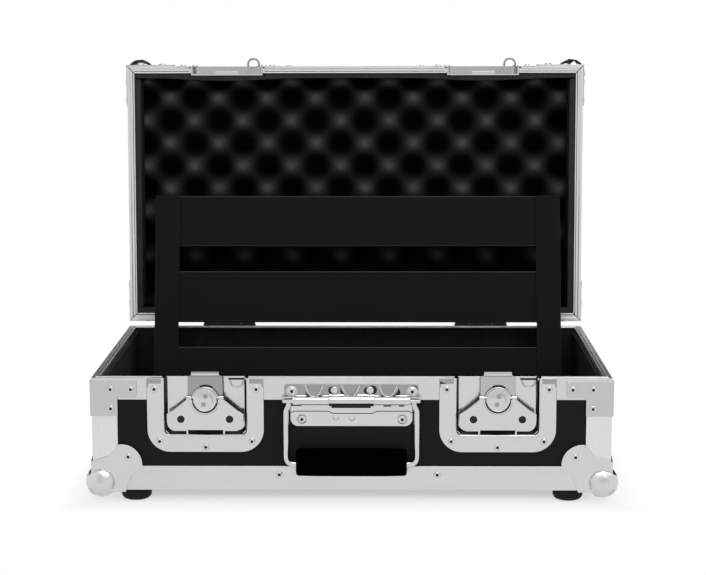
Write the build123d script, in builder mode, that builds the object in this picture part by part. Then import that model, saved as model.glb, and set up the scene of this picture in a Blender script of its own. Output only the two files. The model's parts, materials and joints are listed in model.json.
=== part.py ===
"""Pedal case: a plywood flight case with aluminium edges, two butterfly latches, a sprung handle,
a foam-lined lid on two hinges, and the slatted pedalboard that stands in it. Millimetres, +Z up.
The origin is on the floor under the middle of the open case. The sub-parts are drawn about the
middle of the base with the lid shut, and save() brings them to their rest places."""

from build123d import *
from math import cos, radians, sin
import os

os.makedirs("parts", exist_ok=True)

# ---- Driving dimensions -------------------------------------------------------------------
WIDTH = 470.0            # outside of the edge profiles, left to right
DEPTH = 264.0            # outside of the edge profiles, front to back
BASE_HEIGHT = 104.0      # underside of the base to its rim
LID_HEIGHT = 64.0        # rim of the lid to its top
FOOT_HEIGHT = 12.0
LID_OPENING = 93.0       # degrees from closed to the hinge stop
SEAM = 0.4               # gap between the two rims when shut

SKIN = 1.5               # wall of the aluminium profiles
PLY = 5.0                # panel thickness, laminate included
RIM_LIP = 1.0            # inner lip of the rim profiles
RIM_WIDTH = SKIN + PLY + RIM_LIP
RIM_LEG = 20.0           # outer leg of the rim profiles
BOTTOM_LEG = 22.5
UPRIGHT_LEG = 23.2
MITRE_GAP = 0.1          # half of the saw gap at a mitred corner

BASE_Z = FOOT_HEIGHT
RIM_Z = BASE_Z + BASE_HEIGHT
LID_Z = RIM_Z + SEAM
TOP_Z = LID_Z + LID_HEIGHT
HALF_W = WIDTH / 2
HALF_D = DEPTH / 2
WALL = SKIN + PLY        # from the outer face to the inside of a panel

HINGE_OUT = 4.75         # hinge axis behind the back face
HINGE_Y = HALF_D + HINGE_OUT
HINGE_Z = RIM_Z + SEAM / 2
HINGE_X = 131.0          # centre of each hinge, left and right
LATCH_X = 132.0          # centre of each latch, left and right

FRAME_Y = 39.0           # middle of the open case behind the middle of the base
LID_OPEN = (
    Location((0, HINGE_Y, HINGE_Z))
    * Location((0, 0, 0), (-LID_OPENING, 0, 0))
    * Location((0, -HINGE_Y, -HINGE_Z))
)


def save(builder, label, place=None):
    """Label a finished sub-part, put it in its rest pose and write it."""
    if place is not None:
        builder.part.move(place)
    builder.part.move(Location((0, -FRAME_Y, 0)))
    builder.part.label = label
    export_step(builder.part, f"parts/{label}.step")


def facing(x, y, z, normal):
    """A place on an outside face, with its own Z along the face's outward normal."""
    across = (0, 1, 0) if abs(normal[0]) > 0.5 else (1, 0, 0)
    return Plane(origin=(x, y, z), x_dir=across, z_dir=normal).location


FRONT, BACK = (0, -1, 0), (0, 1, 0)
LEFT, RIGHT = (-1, 0, 0), (1, 0, 0)
UP, DOWN = (0, 0, 1), (0, 0, -1)


# ---- Panels -------------------------------------------------------------------------------
LATCH_CUT = 78.0         # width of the notch for a latch dish
BASE_CUT_DEPTH = 54.0    # how far the notch reaches below the rim
LID_CUT_DEPTH = 29.0


def long_panel(z_low, z_high, y_outer, cut_from, cut_to):
    """A front or back panel, notched for the latch dishes where cut_from is given."""
    with BuildPart() as panel:
        inward = PLY if y_outer < 0 else -PLY
        with Locations((0, y_outer + inward / 2, (z_low + z_high) / 2)):
            Box(WIDTH - 2 * WALL, PLY, z_high - z_low)
        if cut_from is not None:
            for x in (-LATCH_X, LATCH_X):
                with Locations((x, y_outer + inward / 2, (cut_from + cut_to) / 2)):
                    Box(LATCH_CUT, 2 * PLY, cut_to - cut_from, mode=Mode.SUBTRACT)
    return panel


def side_panel(z_low, z_high, x_outer):
    """A left or right panel, as deep as the case inside its profiles."""
    with BuildPart() as panel:
        inward = PLY if x_outer < 0 else -PLY
        with Locations((x_outer + inward / 2, 0, (z_low + z_high) / 2)):
            Box(PLY, DEPTH - 2 * SKIN, z_high - z_low)
    return panel


def level_panel(z_low):
    """The floor of the base or the top of the lid, held between the walls."""
    with BuildPart() as panel:
        with Locations((0, 0, z_low + PLY / 2)):
            Box(WIDTH - 2 * WALL, DEPTH - 2 * WALL, PLY)
    return panel


PANEL_LOW = BASE_Z + SKIN
PANEL_HIGH = RIM_Z - SKIN
LID_PANEL_LOW = LID_Z + 3.2
LID_PANEL_HIGH = TOP_Z - SKIN
PANEL_Y = HALF_D - SKIN
PANEL_X = HALF_W - SKIN

save(level_panel(PANEL_LOW), "base_floor_panel")
save(long_panel(PANEL_LOW, PANEL_HIGH, -PANEL_Y, RIM_Z - BASE_CUT_DEPTH, RIM_Z), "base_front_panel")
save(long_panel(PANEL_LOW, PANEL_HIGH, PANEL_Y, None, None), "base_back_panel")
save(side_panel(PANEL_LOW, PANEL_HIGH, -PANEL_X), "base_left_panel")
save(side_panel(PANEL_LOW, PANEL_HIGH, PANEL_X), "base_right_panel")

save(level_panel(LID_PANEL_HIGH - PLY), "lid_top_panel", LID_OPEN)
save(
    long_panel(LID_PANEL_LOW, LID_PANEL_HIGH, -PANEL_Y, LID_Z, LID_Z + LID_CUT_DEPTH),
    "lid_front_panel",
    LID_OPEN,
)
save(long_panel(LID_PANEL_LOW, LID_PANEL_HIGH, PANEL_Y, None, None), "lid_back_panel", LID_OPEN)
save(side_panel(LID_PANEL_LOW, LID_PANEL_HIGH, -PANEL_X), "lid_left_panel", LID_OPEN)
save(side_panel(LID_PANEL_LOW, LID_PANEL_HIGH, PANEL_X), "lid_right_panel", LID_OPEN)


# ---- Aluminium edge profiles --------------------------------------------------------------
def mitred_bar(outline, length, reach):
    """A bar along X from a section of (inward, up) points, sawn at 45 degrees at both ends."""
    with BuildPart() as bar:
        with BuildSketch(Plane.YZ.offset(-length / 2)):
            with BuildLine():
                Polyline(*outline, close=True)
            make_face()
        extrude(amount=length)
        end = length / 2 - MITRE_GAP
        with BuildSketch(Plane.XY.offset(-60)):
            with BuildLine():
                Polyline((-end, 0), (end, 0), (end - reach, reach), (reach - end, reach), close=True)
            make_face()
        extrude(amount=120, mode=Mode.INTERSECT)
    return bar.part


def ring_of_bars(outline, z, reach, notch=None):
    """Four mitred bars round the case at one height, the front one notched for the latches."""
    with BuildPart() as ring:
        long_bar = mitred_bar(outline, WIDTH, reach)
        short_bar = mitred_bar(outline, DEPTH, reach)
        with Locations((0, -HALF_D, z), Location((0, HALF_D, z), (0, 0, 180))):
            add(long_bar)
        with Locations(Location((-HALF_W, 0, z), (0, 0, -90)), Location((HALF_W, 0, z), (0, 0, 90))):
            add(short_bar)
        if notch is not None:
            for x in (-LATCH_X, LATCH_X):
                with Locations((x, -HALF_D, z)):
                    Box(2 * notch, SKIN * 2, 4 * RIM_LEG, mode=Mode.SUBTRACT)
                    Box(LATCH_CUT, 4 * RIM_WIDTH, 4 * RIM_LEG, mode=Mode.SUBTRACT)
    return ring


TONGUE_HEIGHT = 0.9
LIP_DEPTH = 3.5
LID_LIP_DEPTH = 10.0
GROOVE_DEPTH = 1.6

base_rim_section = [
    (0, 0),
    (3.4, 0),
    (3.4, TONGUE_HEIGHT),
    (5.6, TONGUE_HEIGHT),
    (5.6, 0),
    (RIM_WIDTH, 0),
    (RIM_WIDTH, -LIP_DEPTH),
    (WALL, -LIP_DEPTH),
    (WALL, -SKIN),
    (SKIN, -SKIN),
    (SKIN, -RIM_LEG),
    (0, -RIM_LEG),
]
lid_rim_section = [
    (0, 0),
    (2.8, 0),
    (2.8, GROOVE_DEPTH),
    (6.2, GROOVE_DEPTH),
    (6.2, 0),
    (RIM_WIDTH, 0),
    (RIM_WIDTH, LID_LIP_DEPTH),
    (WALL, LID_LIP_DEPTH),
    (WALL, GROOVE_DEPTH + SKIN),
    (SKIN, GROOVE_DEPTH + SKIN),
    (SKIN, RIM_LEG),
    (0, RIM_LEG),
]
bottom_section = [
    (0, 0),
    (BOTTOM_LEG, 0),
    (BOTTOM_LEG, SKIN),
    (SKIN, SKIN),
    (SKIN, BOTTOM_LEG),
    (0, BOTTOM_LEG),
]
top_section = [(inward, -up) for inward, up in bottom_section]

FLANGE_HALF = 52.8       # half width of a latch flange

save(ring_of_bars(base_rim_section, RIM_Z, RIM_WIDTH + 1, FLANGE_HALF), "base_rim_profiles")
save(ring_of_bars(bottom_section, BASE_Z, BOTTOM_LEG), "base_bottom_angles")
save(ring_of_bars(lid_rim_section, LID_Z, RIM_WIDTH + 1, FLANGE_HALF), "lid_rim_profiles", LID_OPEN)
save(ring_of_bars(top_section, TOP_Z, BOTTOM_LEG), "lid_top_angles", LID_OPEN)

CORNERS = [
    Location((-HALF_W, -HALF_D, 0), (0, 0, 0)),
    Location((HALF_W, -HALF_D, 0), (0, 0, 90)),
    Location((HALF_W, HALF_D, 0), (0, 0, 180)),
    Location((-HALF_W, HALF_D, 0), (0, 0, 270)),
]


def upright_angles(z_low, z_high):
    """The four vertical corner angles between two rings of edge profile."""
    with BuildPart() as angles:
        with BuildSketch(Plane.XY.offset(z_low)):
            with Locations(*CORNERS):
                Rectangle(UPRIGHT_LEG, SKIN, align=Align.MIN)
                Rectangle(SKIN, UPRIGHT_LEG, align=Align.MIN)
        extrude(amount=z_high - z_low)
    return angles


save(upright_angles(BASE_Z + BOTTOM_LEG, RIM_Z - RIM_LEG), "base_upright_angles")
save(upright_angles(LID_Z + RIM_LEG, TOP_Z - BOTTOM_LEG), "lid_upright_angles", LID_OPEN)


# ---- Ball corners and rim corner caps -----------------------------------------------------
BALL_RADIUS = 15.0
BALL_INSET = 7.0         # ball centre inside the three faces
BALL_SIDES = 12          # the ball is pressed in flats, so many round and one each 24 degrees
BALL_ANGLES = (116, 92, 68, 44, 20)  # rings of flats, in degrees from the ball's outermost point
LEAF = 1.5               # thickness of a corner's leaves
CAP = 1.2                # thickness of a rim corner cap


def corner_leaf(plane):
    """One pressed leaf of a ball corner, drawn from the corner along two edges."""
    with BuildSketch(plane) as leaf:
        with BuildLine():
            Polyline((29.6, -LEAF), (-LEAF, -LEAF), (-LEAF, 27), (14.0, 31.6), (24.0, 42.8))
            ThreePointArc((24.0, 42.8), (39.4, 37.6), (45.0, 22.2))
            Polyline((45.0, 22.2), (34.0, 12.4), (29.6, -LEAF))
        make_face()
    return leaf.sketch


def corner_ball():
    """The ball of a corner: rings of flats about the diagonal that points out of the corner."""
    middle = (BALL_INSET, BALL_INSET, BALL_INSET)
    outward = Plane(origin=middle, x_dir=(1, -1, 0), z_dir=(-1, -1, -1))
    with BuildPart() as ball:
        for angle in BALL_ANGLES:
            with BuildSketch(outward.offset(BALL_RADIUS * cos(radians(angle)))):
                RegularPolygon(BALL_RADIUS * sin(radians(angle)), BALL_SIDES)
        loft(ruled=True)
    return ball.part


def ball_corner():
    """A pressed steel corner with three leaves and a ball, its corner point at the origin."""
    with BuildPart() as corner:
        for plane, outward in ((Plane.XZ, LEAF), (Plane.YZ, -LEAF), (Plane.XY, -LEAF)):
            extrude(corner_leaf(plane), amount=outward)
        add(corner_ball())
        Box(60, 60, 60, align=Align.MIN, mode=Mode.SUBTRACT)
    return corner.part


def at_corners(piece, z, flip=False):
    """The same corner piece at all four corners, turned upside down for the lid."""
    turned = Rotation(0, 0, -90) * Rotation(0, 180, 0) * piece if flip else piece
    with BuildPart() as pieces:
        for place in CORNERS:
            add(Location((0, 0, z)) * place * turned)
    return pieces


CAP_TOP = 2.6            # cap edge below the rim
CAP_LENGTH = 41.3
CAP_HEIGHT = 15.0
CAP_ARM = 32.3
LID_CAP_ARM = 17.5
CAP_ARM_WIDTH = 23.7


def cap_face(plane, arm):
    """One L-shaped side of a rim corner cap, its arm running along the upright edge."""
    with BuildSketch(plane) as side:
        with BuildLine():
            Polyline(
                (-CAP, 0),
                (CAP_LENGTH, 0),
                (CAP_LENGTH, CAP_HEIGHT - 1.6),
                (CAP_LENGTH - 1.6, CAP_HEIGHT),
                (CAP_ARM_WIDTH, CAP_HEIGHT),
                (CAP_ARM_WIDTH, arm),
                (-CAP, arm),
                close=True,
            )
        make_face()
    return side.sketch


def rim_corner_cap(arm):
    """A sheet cap over two faces of an upright edge, hanging down from the rim at the origin."""
    with BuildPart() as cap:
        down_front = Plane(origin=(0, 0, -CAP_TOP), x_dir=(1, 0, 0), z_dir=(0, 1, 0))
        down_side = Plane(origin=(0, 0, -CAP_TOP), x_dir=(0, 1, 0), z_dir=(-1, 0, 0))
        extrude(cap_face(down_front, arm), amount=-CAP)
        extrude(cap_face(down_side, arm), amount=CAP)
    return cap.part


save(at_corners(ball_corner(), BASE_Z), "base_ball_corners")
save(at_corners(rim_corner_cap(CAP_ARM), RIM_Z), "base_rim_caps")
save(at_corners(ball_corner(), TOP_Z, flip=True), "lid_ball_corners", LID_OPEN)
save(at_corners(rim_corner_cap(LID_CAP_ARM), LID_Z, flip=True), "lid_rim_caps", LID_OPEN)


# ---- Feet, linings and foams --------------------------------------------------------------
FOOT_SIDES = 18
FOOT_RINGS = ((0, 14.2), (5, 13.4), (FOOT_HEIGHT, 8.8))  # drop below the base and radius there
FOOT_X = 196.0
FOOT_Y = 106.0


def rubber_foot():
    """A bowl-shaped rubber foot in flats, its top face at the origin."""
    with BuildPart() as foot:
        for drop, radius in FOOT_RINGS:
            with BuildSketch(Plane.XY.offset(-drop)):
                RegularPolygon(radius, FOOT_SIDES)
        loft(ruled=True)
    return foot.part


with BuildPart() as base_feet:
    with Locations((0, 0, BASE_Z)):
        with GridLocations(2 * FOOT_X, 2 * FOOT_Y, 2, 2):
            add(rubber_foot())
    add(at_corners(ball_corner(), BASE_Z).part, mode=Mode.SUBTRACT)
save(base_feet, "base_feet")

LINING = 4.0             # foam sheet on the inside of the base walls
FLOOR_FOAM = 5.0
FLOOR_TOP = PANEL_LOW + PLY + FLOOR_FOAM
LINING_TOP = RIM_Z - LIP_DEPTH - 0.5
EGG_FOAM = 28.0          # convoluted foam behind the lid's top panel
EGG_LOW = LID_PANEL_HIGH - PLY - EGG_FOAM
EDGE_FOAM = 6.0          # foam strip round the inside of the lid's walls
EDGE_LOW = LID_Z + 2.2


def foam_ring(outer, thickness, z_low, z_high, cut_y):
    """Four strips of foam standing round the inside of the walls, pocketed behind the latches."""
    with BuildPart() as ring:
        height = z_high - z_low
        z = (z_low + z_high) / 2
        y = HALF_D - outer - thickness / 2
        x = HALF_W - outer - thickness / 2
        with Locations((0, -y, z), (0, y, z)):
            Box(WIDTH - 2 * outer, thickness, height)
        with Locations((-x, 0, z), (x, 0, z)):
            Box(thickness, 2 * y - thickness - 0.2, height)
        for latch in (-LATCH_X, LATCH_X):
            with Locations((latch, -HALF_D, (RIM_Z + LID_Z) / 2)):
                Box(LATCH_CUT, 2 * cut_y, 2 * BASE_CUT_DEPTH, mode=Mode.SUBTRACT)
    return ring


def foam_sheet(z_low, thickness):
    """A sheet of foam filling the case from wall to wall."""
    with BuildPart() as sheet:
        with Locations((0, 0, z_low + thickness / 2)):
            Box(WIDTH - 2 * WALL, DEPTH - 2 * WALL, thickness)
    return sheet


save(foam_sheet(FLOOR_TOP - FLOOR_FOAM, FLOOR_FOAM), "base_floor_foam")
save(foam_ring(WALL, LINING, FLOOR_TOP, LINING_TOP, 4 * WALL), "base_wall_lining")
save(foam_sheet(EGG_LOW, EGG_FOAM), "lid_egg_foam", LID_OPEN)
save(foam_ring(RIM_WIDTH, EDGE_FOAM, EDGE_LOW, EGG_LOW, 10.2), "lid_edge_foam", LID_OPEN)


# ---- Latch dishes -------------------------------------------------------------------------
SHEET = 1.5              # pressed steel of the dishes
FLANGE_DEPTH = 68.5      # flange below the base rim
FLANGE_CORNER = 21.0
RECESS_HALF = 37.0
RECESS_DEPTH = 52.0      # recess below the base rim
RECESS_FLOOR = 8.4       # recess floor behind the front face
RECESS_CORNER = 9.0
LID_FLANGE_DEPTH = 41.4
LID_RECESS_DEPTH = 27.0
LOOP_X = 27.5            # padlock loop to the right of a latch's centre
BOSS_Z = RIM_Z - 20.0    # cam axis
SHAFT_RADIUS = 3.5
SHAFT_FIT = 0.05
LEDGE_OUT = 3.0          # keeper ledge in front of the lid's recess floor
LEDGE_HALF = 12.0


def dish(flange_depth, recess_depth):
    """A flange round a recess that is open at the rim, hanging below the origin on the front face."""
    with BuildPart() as tray:
        with BuildSketch(Plane.XZ) as flange:
            with Locations((0, -flange_depth / 2)):
                Rectangle(2 * FLANGE_HALF, flange_depth)
            fillet(flange.vertices().group_by(Axis.Y)[0], FLANGE_CORNER)
        extrude(amount=-SHEET)
        with BuildSketch(Plane.XZ) as pocket:
            with Locations((0, -recess_depth / 2)):
                Rectangle(2 * RECESS_HALF, recess_depth)
            chamfer(pocket.vertices().group_by(Axis.Y)[0], RECESS_CORNER / 2)
        extrude(amount=-(RECESS_FLOOR + SHEET))
        with BuildSketch(Plane.XZ) as hollow:
            with Locations((0, -(recess_depth - SHEET) / 2)):
                Rectangle(2 * (RECESS_HALF - SHEET), recess_depth - SHEET)
            fillet(hollow.vertices().group_by(Axis.Y)[0], RECESS_CORNER - SHEET)
        extrude(amount=-RECESS_FLOOR, mode=Mode.SUBTRACT)
    return tray.part


def latch_dish(x):
    """The base's dish, with the cam's bearing hole and a slot over a half-round pressing."""
    with BuildPart() as tray:
        with Locations((x, -HALF_D, RIM_Z)):
            add(dish(FLANGE_DEPTH, RECESS_DEPTH))
        with Locations(facing(x, RECESS_FLOOR - HALF_D, BOSS_Z, FRONT)):
            Cylinder(SHAFT_RADIUS + SHAFT_FIT, 4 * SHEET, mode=Mode.SUBTRACT)
        with Locations((x + LOOP_X + 9.2, -HALF_D, RIM_Z)):
            Box(2.8, 3, 3, mode=Mode.SUBTRACT)
    return tray


def keeper_dish(x):
    """The lid's dish, with the ledge that the hook pulls on."""
    with BuildPart() as tray:
        with Locations(Location((x, -HALF_D, LID_Z), (0, 180, 0))):
            add(dish(LID_FLANGE_DEPTH, LID_RECESS_DEPTH))
        with Locations((x, RECESS_FLOOR - HALF_D, LID_Z)):
            Box(2 * LEDGE_HALF, LEDGE_OUT, 1, align=(Align.CENTER, Align.MAX, Align.MIN))
    return tray


save(latch_dish(-LATCH_X), "latch_dish_left")
save(latch_dish(LATCH_X), "latch_dish_right")
save(keeper_dish(-LATCH_X), "keeper_dish_left", LID_OPEN)
save(keeper_dish(LATCH_X), "keeper_dish_right", LID_OPEN)

LOOP_OUTER, LOOP_INNER = 6.6, 4.6
LOOP_HEIGHT = 2.0
LOOP_LOW = LID_Z + 2.0
with BuildPart() as lid_padlock_loops:
    with BuildSketch(Plane.XY.offset(LOOP_LOW)):
        for x in (LOOP_X - LATCH_X, LOOP_X + LATCH_X):
            with Locations((x, -HALF_D - 1.7)):
                Circle(LOOP_OUTER)
                Circle(LOOP_INNER, mode=Mode.SUBTRACT)
            with Locations((x, -HALF_D)):
                Rectangle(4 * LOOP_OUTER, 2 * LOOP_OUTER, align=(Align.CENTER, Align.MIN), mode=Mode.SUBTRACT)
    extrude(amount=LOOP_HEIGHT)
save(lid_padlock_loops, "lid_padlock_loops", LID_OPEN)


# ---- Latch cams, wings and hooks ----------------------------------------------------------
BOSS_RADIUS = 10.9
BOSS_FLAT = 10.4         # flats on both sides of the boss, where the pivot pins come out
BOSS_BACK = -HALF_D + 0.8
BOSS_LENGTH = 5.0
SHAFT_END = -HALF_D + 10.75
WING_BACK = -HALF_D - 1.6
WING_SHEET = 1.4
PIVOT_Y = WING_BACK - WING_SHEET / 2
PIVOT_Z = BOSS_Z + 2.5
PIVOT_RADIUS = 0.9
PIVOT_FIT = 0.05
PIVOT_REACH = 16.8
KNUCKLE_RADIUS = 1.7
KNUCKLE_IN, KNUCKLE_OUT = 12.4, 16.8
KNUCKLE_LOW = 0.5        # edge of the wing's plate above the boss's centre
WING_HALF = 34.6
WING_DROP = 30.3
WING_CORNER = 15.0
HOOK_SHEET = 1.6
HOOK_BACK = -HALF_D + 2.8
HOOK_TOP = 5.4           # top of the hook above the base rim, with the hook out
HOOK_LIP = 2.2


def latch_cam(x):
    """The turning boss of a latch with its shaft, square end plate and the wing's pivot pins."""
    with BuildPart() as cam:
        with BuildSketch(Plane(origin=(x, BOSS_BACK, BOSS_Z), x_dir=(1, 0, 0), z_dir=FRONT)):
            Circle(BOSS_RADIUS)
            Rectangle(2 * BOSS_FLAT, 3 * BOSS_RADIUS, mode=Mode.INTERSECT)
        extrude(amount=BOSS_LENGTH)
        with Locations(facing(x, SHAFT_END, BOSS_Z, FRONT)):
            Cylinder(SHAFT_RADIUS, SHAFT_END - BOSS_BACK, align=(Align.CENTER, Align.CENTER, Align.MIN))
            Box(11, 11, 0.8, align=(Align.CENTER, Align.CENTER, Align.MIN))
        with Locations(Location((x, PIVOT_Y, PIVOT_Z), (0, 90, 0))):
            Cylinder(PIVOT_RADIUS, 2 * PIVOT_REACH)
    return cam


def latch_wing(x):
    """The butterfly wing: a plate with a U round the boss, two finger holes and two knuckles."""
    with BuildPart() as wing:
        with BuildSketch(Plane(origin=(x, WING_BACK, BOSS_Z), x_dir=(1, 0, 0), z_dir=FRONT)) as plate:
            with BuildLine():
                Polyline(
                    (-KNUCKLE_IN, KNUCKLE_LOW),
                    (KNUCKLE_IN, KNUCKLE_LOW),
                    (17, KNUCKLE_LOW),
                    (29.5, -9.5),
                    (WING_HALF, -12.5),
                    (WING_HALF, -WING_DROP),
                    (-WING_HALF, -WING_DROP),
                    (-WING_HALF, -12.5),
                    (-29.5, -9.5),
                    (-17, KNUCKLE_LOW),
                    close=True,
                )
            make_face()
            fillet(plate.vertices().group_by(Axis.Y)[0], WING_CORNER)
            Circle(BOSS_RADIUS + 0.8, mode=Mode.SUBTRACT)
            with Locations((-22, -17.4), (22, -17.4)):
                Circle(3.4, mode=Mode.SUBTRACT)
            with Locations((0, -WING_DROP)):
                Rectangle(32, 4, mode=Mode.SUBTRACT)
        extrude(amount=WING_SHEET)
        for start in (-KNUCKLE_OUT, KNUCKLE_IN):
            with BuildSketch(Plane.YZ.offset(x + start)):
                with Locations((PIVOT_Y, PIVOT_Z)):
                    Circle(KNUCKLE_RADIUS)
                with Locations((PIVOT_Y, BOSS_Z + KNUCKLE_LOW)):
                    Rectangle(WING_SHEET, PIVOT_Z - BOSS_Z - KNUCKLE_LOW, align=(Align.CENTER, Align.MIN))
                with Locations((PIVOT_Y, PIVOT_Z)):
                    Circle(PIVOT_RADIUS + PIVOT_FIT, mode=Mode.SUBTRACT)
            extrude(amount=KNUCKLE_OUT - KNUCKLE_IN)
    return wing


def latch_hook(x):
    """The sliding hook plate, slotted round the cam's shaft, with its top bent back over the keeper."""
    with BuildPart() as hook:
        with BuildSketch(Plane(origin=(x, HOOK_BACK, RIM_Z), x_dir=(1, 0, 0), z_dir=FRONT)):
            with BuildLine():
                Polyline(
                    (-15.8, -32),
                    (15.8, -32),
                    (15.8, 0.5),
                    (12.5, 2.5),
                    (12.5, HOOK_TOP),
                    (-12.5, HOOK_TOP),
                    (-12.5, 2.5),
                    (-15.8, 0.5),
                    close=True,
                )
            make_face()
            with Locations((0, -18.75)):
                Rectangle(8, 10.5, mode=Mode.SUBTRACT)
        extrude(amount=HOOK_SHEET)
        with Locations((x, HOOK_BACK, RIM_Z + HOOK_TOP)):
            Box(25, HOOK_LIP, HOOK_SHEET, align=(Align.CENTER, Align.MIN, Align.MAX))
    return hook


for side, x in (("left", -LATCH_X), ("right", LATCH_X)):
    save(latch_cam(x), f"latch_cam_{side}")
    save(latch_wing(x), f"latch_wing_{side}")
    save(latch_hook(x), f"latch_hook_{side}")


# ---- Lid hinges ---------------------------------------------------------------------------
HINGE_HALF = 26.8
MIDDLE_HALF = 12.1       # half of the lid's middle knuckle, with its play
HINGE_RADIUS = 3.6
HINGE_PIN = 1.5
HINGE_FIT = 0.05
LEAF_SHEET = 1.5
LEAF_TOP = 5.2           # leaf edge from the axis
LEAF_LOW = 30.0


def hinge_leaf(x, knuckles, up):
    """A leaf on the back face with its knuckles; up is 1 for the lid's leaf and -1 for the base's."""
    with BuildPart() as leaf:
        with Locations((x, HALF_D, HINGE_Z + up * (LEAF_TOP + LEAF_LOW) / 2)):
            Box(2 * HINGE_HALF, LEAF_SHEET, LEAF_LOW - LEAF_TOP, align=(Align.CENTER, Align.MIN, Align.CENTER))
        for start, end in knuckles:
            with BuildSketch(Plane.YZ.offset(x + start)):
                with Locations((HINGE_Y, HINGE_Z)):
                    Circle(HINGE_RADIUS)
                    with BuildLine():
                        Polyline(
                            (HALF_D, HINGE_Z + up * 8),
                            (HALF_D + LEAF_SHEET, HINGE_Z + up * 8),
                            (HINGE_Y + 1.5, HINGE_Z + up * 3),
                            (HINGE_Y, HINGE_Z),
                            (HINGE_Y - 3.2, HINGE_Z + up * 0.6),
                            (HALF_D, HINGE_Z + up * 3.5),
                            close=True,
                        )
                make_face()
            extrude(amount=end - start)
        with Locations(Location((x, HINGE_Y, HINGE_Z), (0, 90, 0))):
            Cylinder(HINGE_PIN + HINGE_FIT, 4 * HINGE_HALF, mode=Mode.SUBTRACT)
    return leaf


outer_knuckles = [(-HINGE_HALF, -MIDDLE_HALF - 0.1), (MIDDLE_HALF + 0.1, HINGE_HALF)]
middle_knuckle = [(0.1 - MIDDLE_HALF, MIDDLE_HALF - 0.1)]
for side, x in (("left", -HINGE_X), ("right", HINGE_X)):
    save(hinge_leaf(x, outer_knuckles, -1), f"base_hinge_leaf_{side}")
    save(hinge_leaf(x, middle_knuckle, 1), f"lid_hinge_leaf_{side}", LID_OPEN)

with BuildPart() as hinge_pins:
    for x in (-HINGE_X, HINGE_X):
        with Locations(Location((x, HINGE_Y, HINGE_Z), (0, 90, 0))):
            Cylinder(HINGE_PIN, 2 * HINGE_HALF + 1.6)
save(hinge_pins, "hinge_pins")


# ---- Handle -------------------------------------------------------------------------------
HANDLE_Y = -HALF_D - 5.0
HANDLE_Z = 96.0
ROD_RADIUS = 2.65
ROD_FIT = 0.05
BAIL_HALF = 59.0
BAIL_Z = 37.5
BAIL_BEND = 7.0
GRIP_HALF = 50.0
PLATE_SHEET = 1.2
UPPER_HALF, UPPER_LOW, UPPER_HIGH = 60.4, 95.9, 110.9
LOWER_HALF, LOWER_LOW = 55.2, 71.6
UPPER_FRONT = -HALF_D - PLATE_SHEET
LOWER_FRONT = -HALF_D + SKIN - PLATE_SHEET

with BuildPart() as handle_backplate:
    with BuildSketch(Plane.XZ.offset(HALF_D)) as upper:
        with Locations((0, (UPPER_LOW + UPPER_HIGH) / 2)):
            Rectangle(2 * UPPER_HALF, UPPER_HIGH - UPPER_LOW)
        fillet(upper.vertices(), 2.5)
        for window_x, window_width in ((-46, 9), (-17, 18), (16.5, 18), (46, 9)):
            with Locations((window_x, 100.6)):
                Rectangle(window_width, 5.6, mode=Mode.SUBTRACT)
    extrude(amount=PLATE_SHEET)
    with BuildSketch(Plane.XZ.offset(HALF_D - SKIN)) as lower:
        with Locations((0, (LOWER_LOW + UPPER_LOW) / 2)):
            Rectangle(2 * LOWER_HALF, UPPER_LOW - LOWER_LOW)
        fillet(lower.vertices().group_by(Axis.Y)[0], 7)
    extrude(amount=PLATE_SHEET)
    with Locations((0, UPPER_FRONT, UPPER_LOW)):
        Box(2 * LOWER_HALF, PLATE_SHEET + SKIN, 1.6, align=(Align.CENTER, Align.MIN, Align.MAX))
save(handle_backplate, "handle_backplate")

BARREL_HALF = 52.6
COVER_HALF = 62.5
HUMP_HALF = 20.0
COVER_SHEET = 1.15
HUMP_SHEET = 2.05


def rolled_cover(half_length, sheet):
    """A length of sheet rolled round the rod, with its straight upper part against the backplate."""
    with BuildPart() as roll:
        with BuildSketch(Plane.YZ.offset(-half_length)):
            with Locations((HANDLE_Y, HANDLE_Z)):
                Circle(ROD_RADIUS + sheet)
            with Locations((UPPER_FRONT, HANDLE_Z + 1)):
                Rectangle(1.4, 5.6, align=(Align.MAX, Align.CENTER))
            with Locations((HANDLE_Y, HANDLE_Z)):
                Circle(ROD_RADIUS + ROD_FIT, mode=Mode.SUBTRACT)
        extrude(amount=2 * half_length)
    return roll.part


with BuildPart() as handle_hinge_cover:
    add(rolled_cover(BARREL_HALF, COVER_SHEET))
    add(rolled_cover(HUMP_HALF, HUMP_SHEET))
    with Locations((0, UPPER_FRONT, HANDLE_Z + ROD_RADIUS + 0.3)):
        Box(2 * COVER_HALF, 6, 0.9, align=(Align.CENTER, Align.MAX, Align.MIN))
    with Locations((0, -HALF_D, HANDLE_Z)):
        Box(3 * COVER_HALF, 2 * PLATE_SHEET, 40, mode=Mode.SUBTRACT)
save(handle_hinge_cover, "handle_hinge_cover")

with BuildPart() as handle_bail:
    with BuildLine(Plane.XZ.offset(-HANDLE_Y)) as bail_line:
        Polyline(
            (-32, HANDLE_Z),
            (-BAIL_HALF, HANDLE_Z),
            (-BAIL_HALF, BAIL_Z + BAIL_BEND),
            (BAIL_BEND - BAIL_HALF, BAIL_Z),
            (BAIL_HALF - BAIL_BEND, BAIL_Z),
            (BAIL_HALF, BAIL_Z + BAIL_BEND),
            (BAIL_HALF, HANDLE_Z),
            (32, HANDLE_Z),
        )
    with BuildSketch(Plane(origin=(-32, HANDLE_Y, HANDLE_Z), z_dir=LEFT)):
        Circle(ROD_RADIUS)
    sweep(path=bail_line.line, transition=Transition.RIGHT)
save(handle_bail, "handle_bail")

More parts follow.
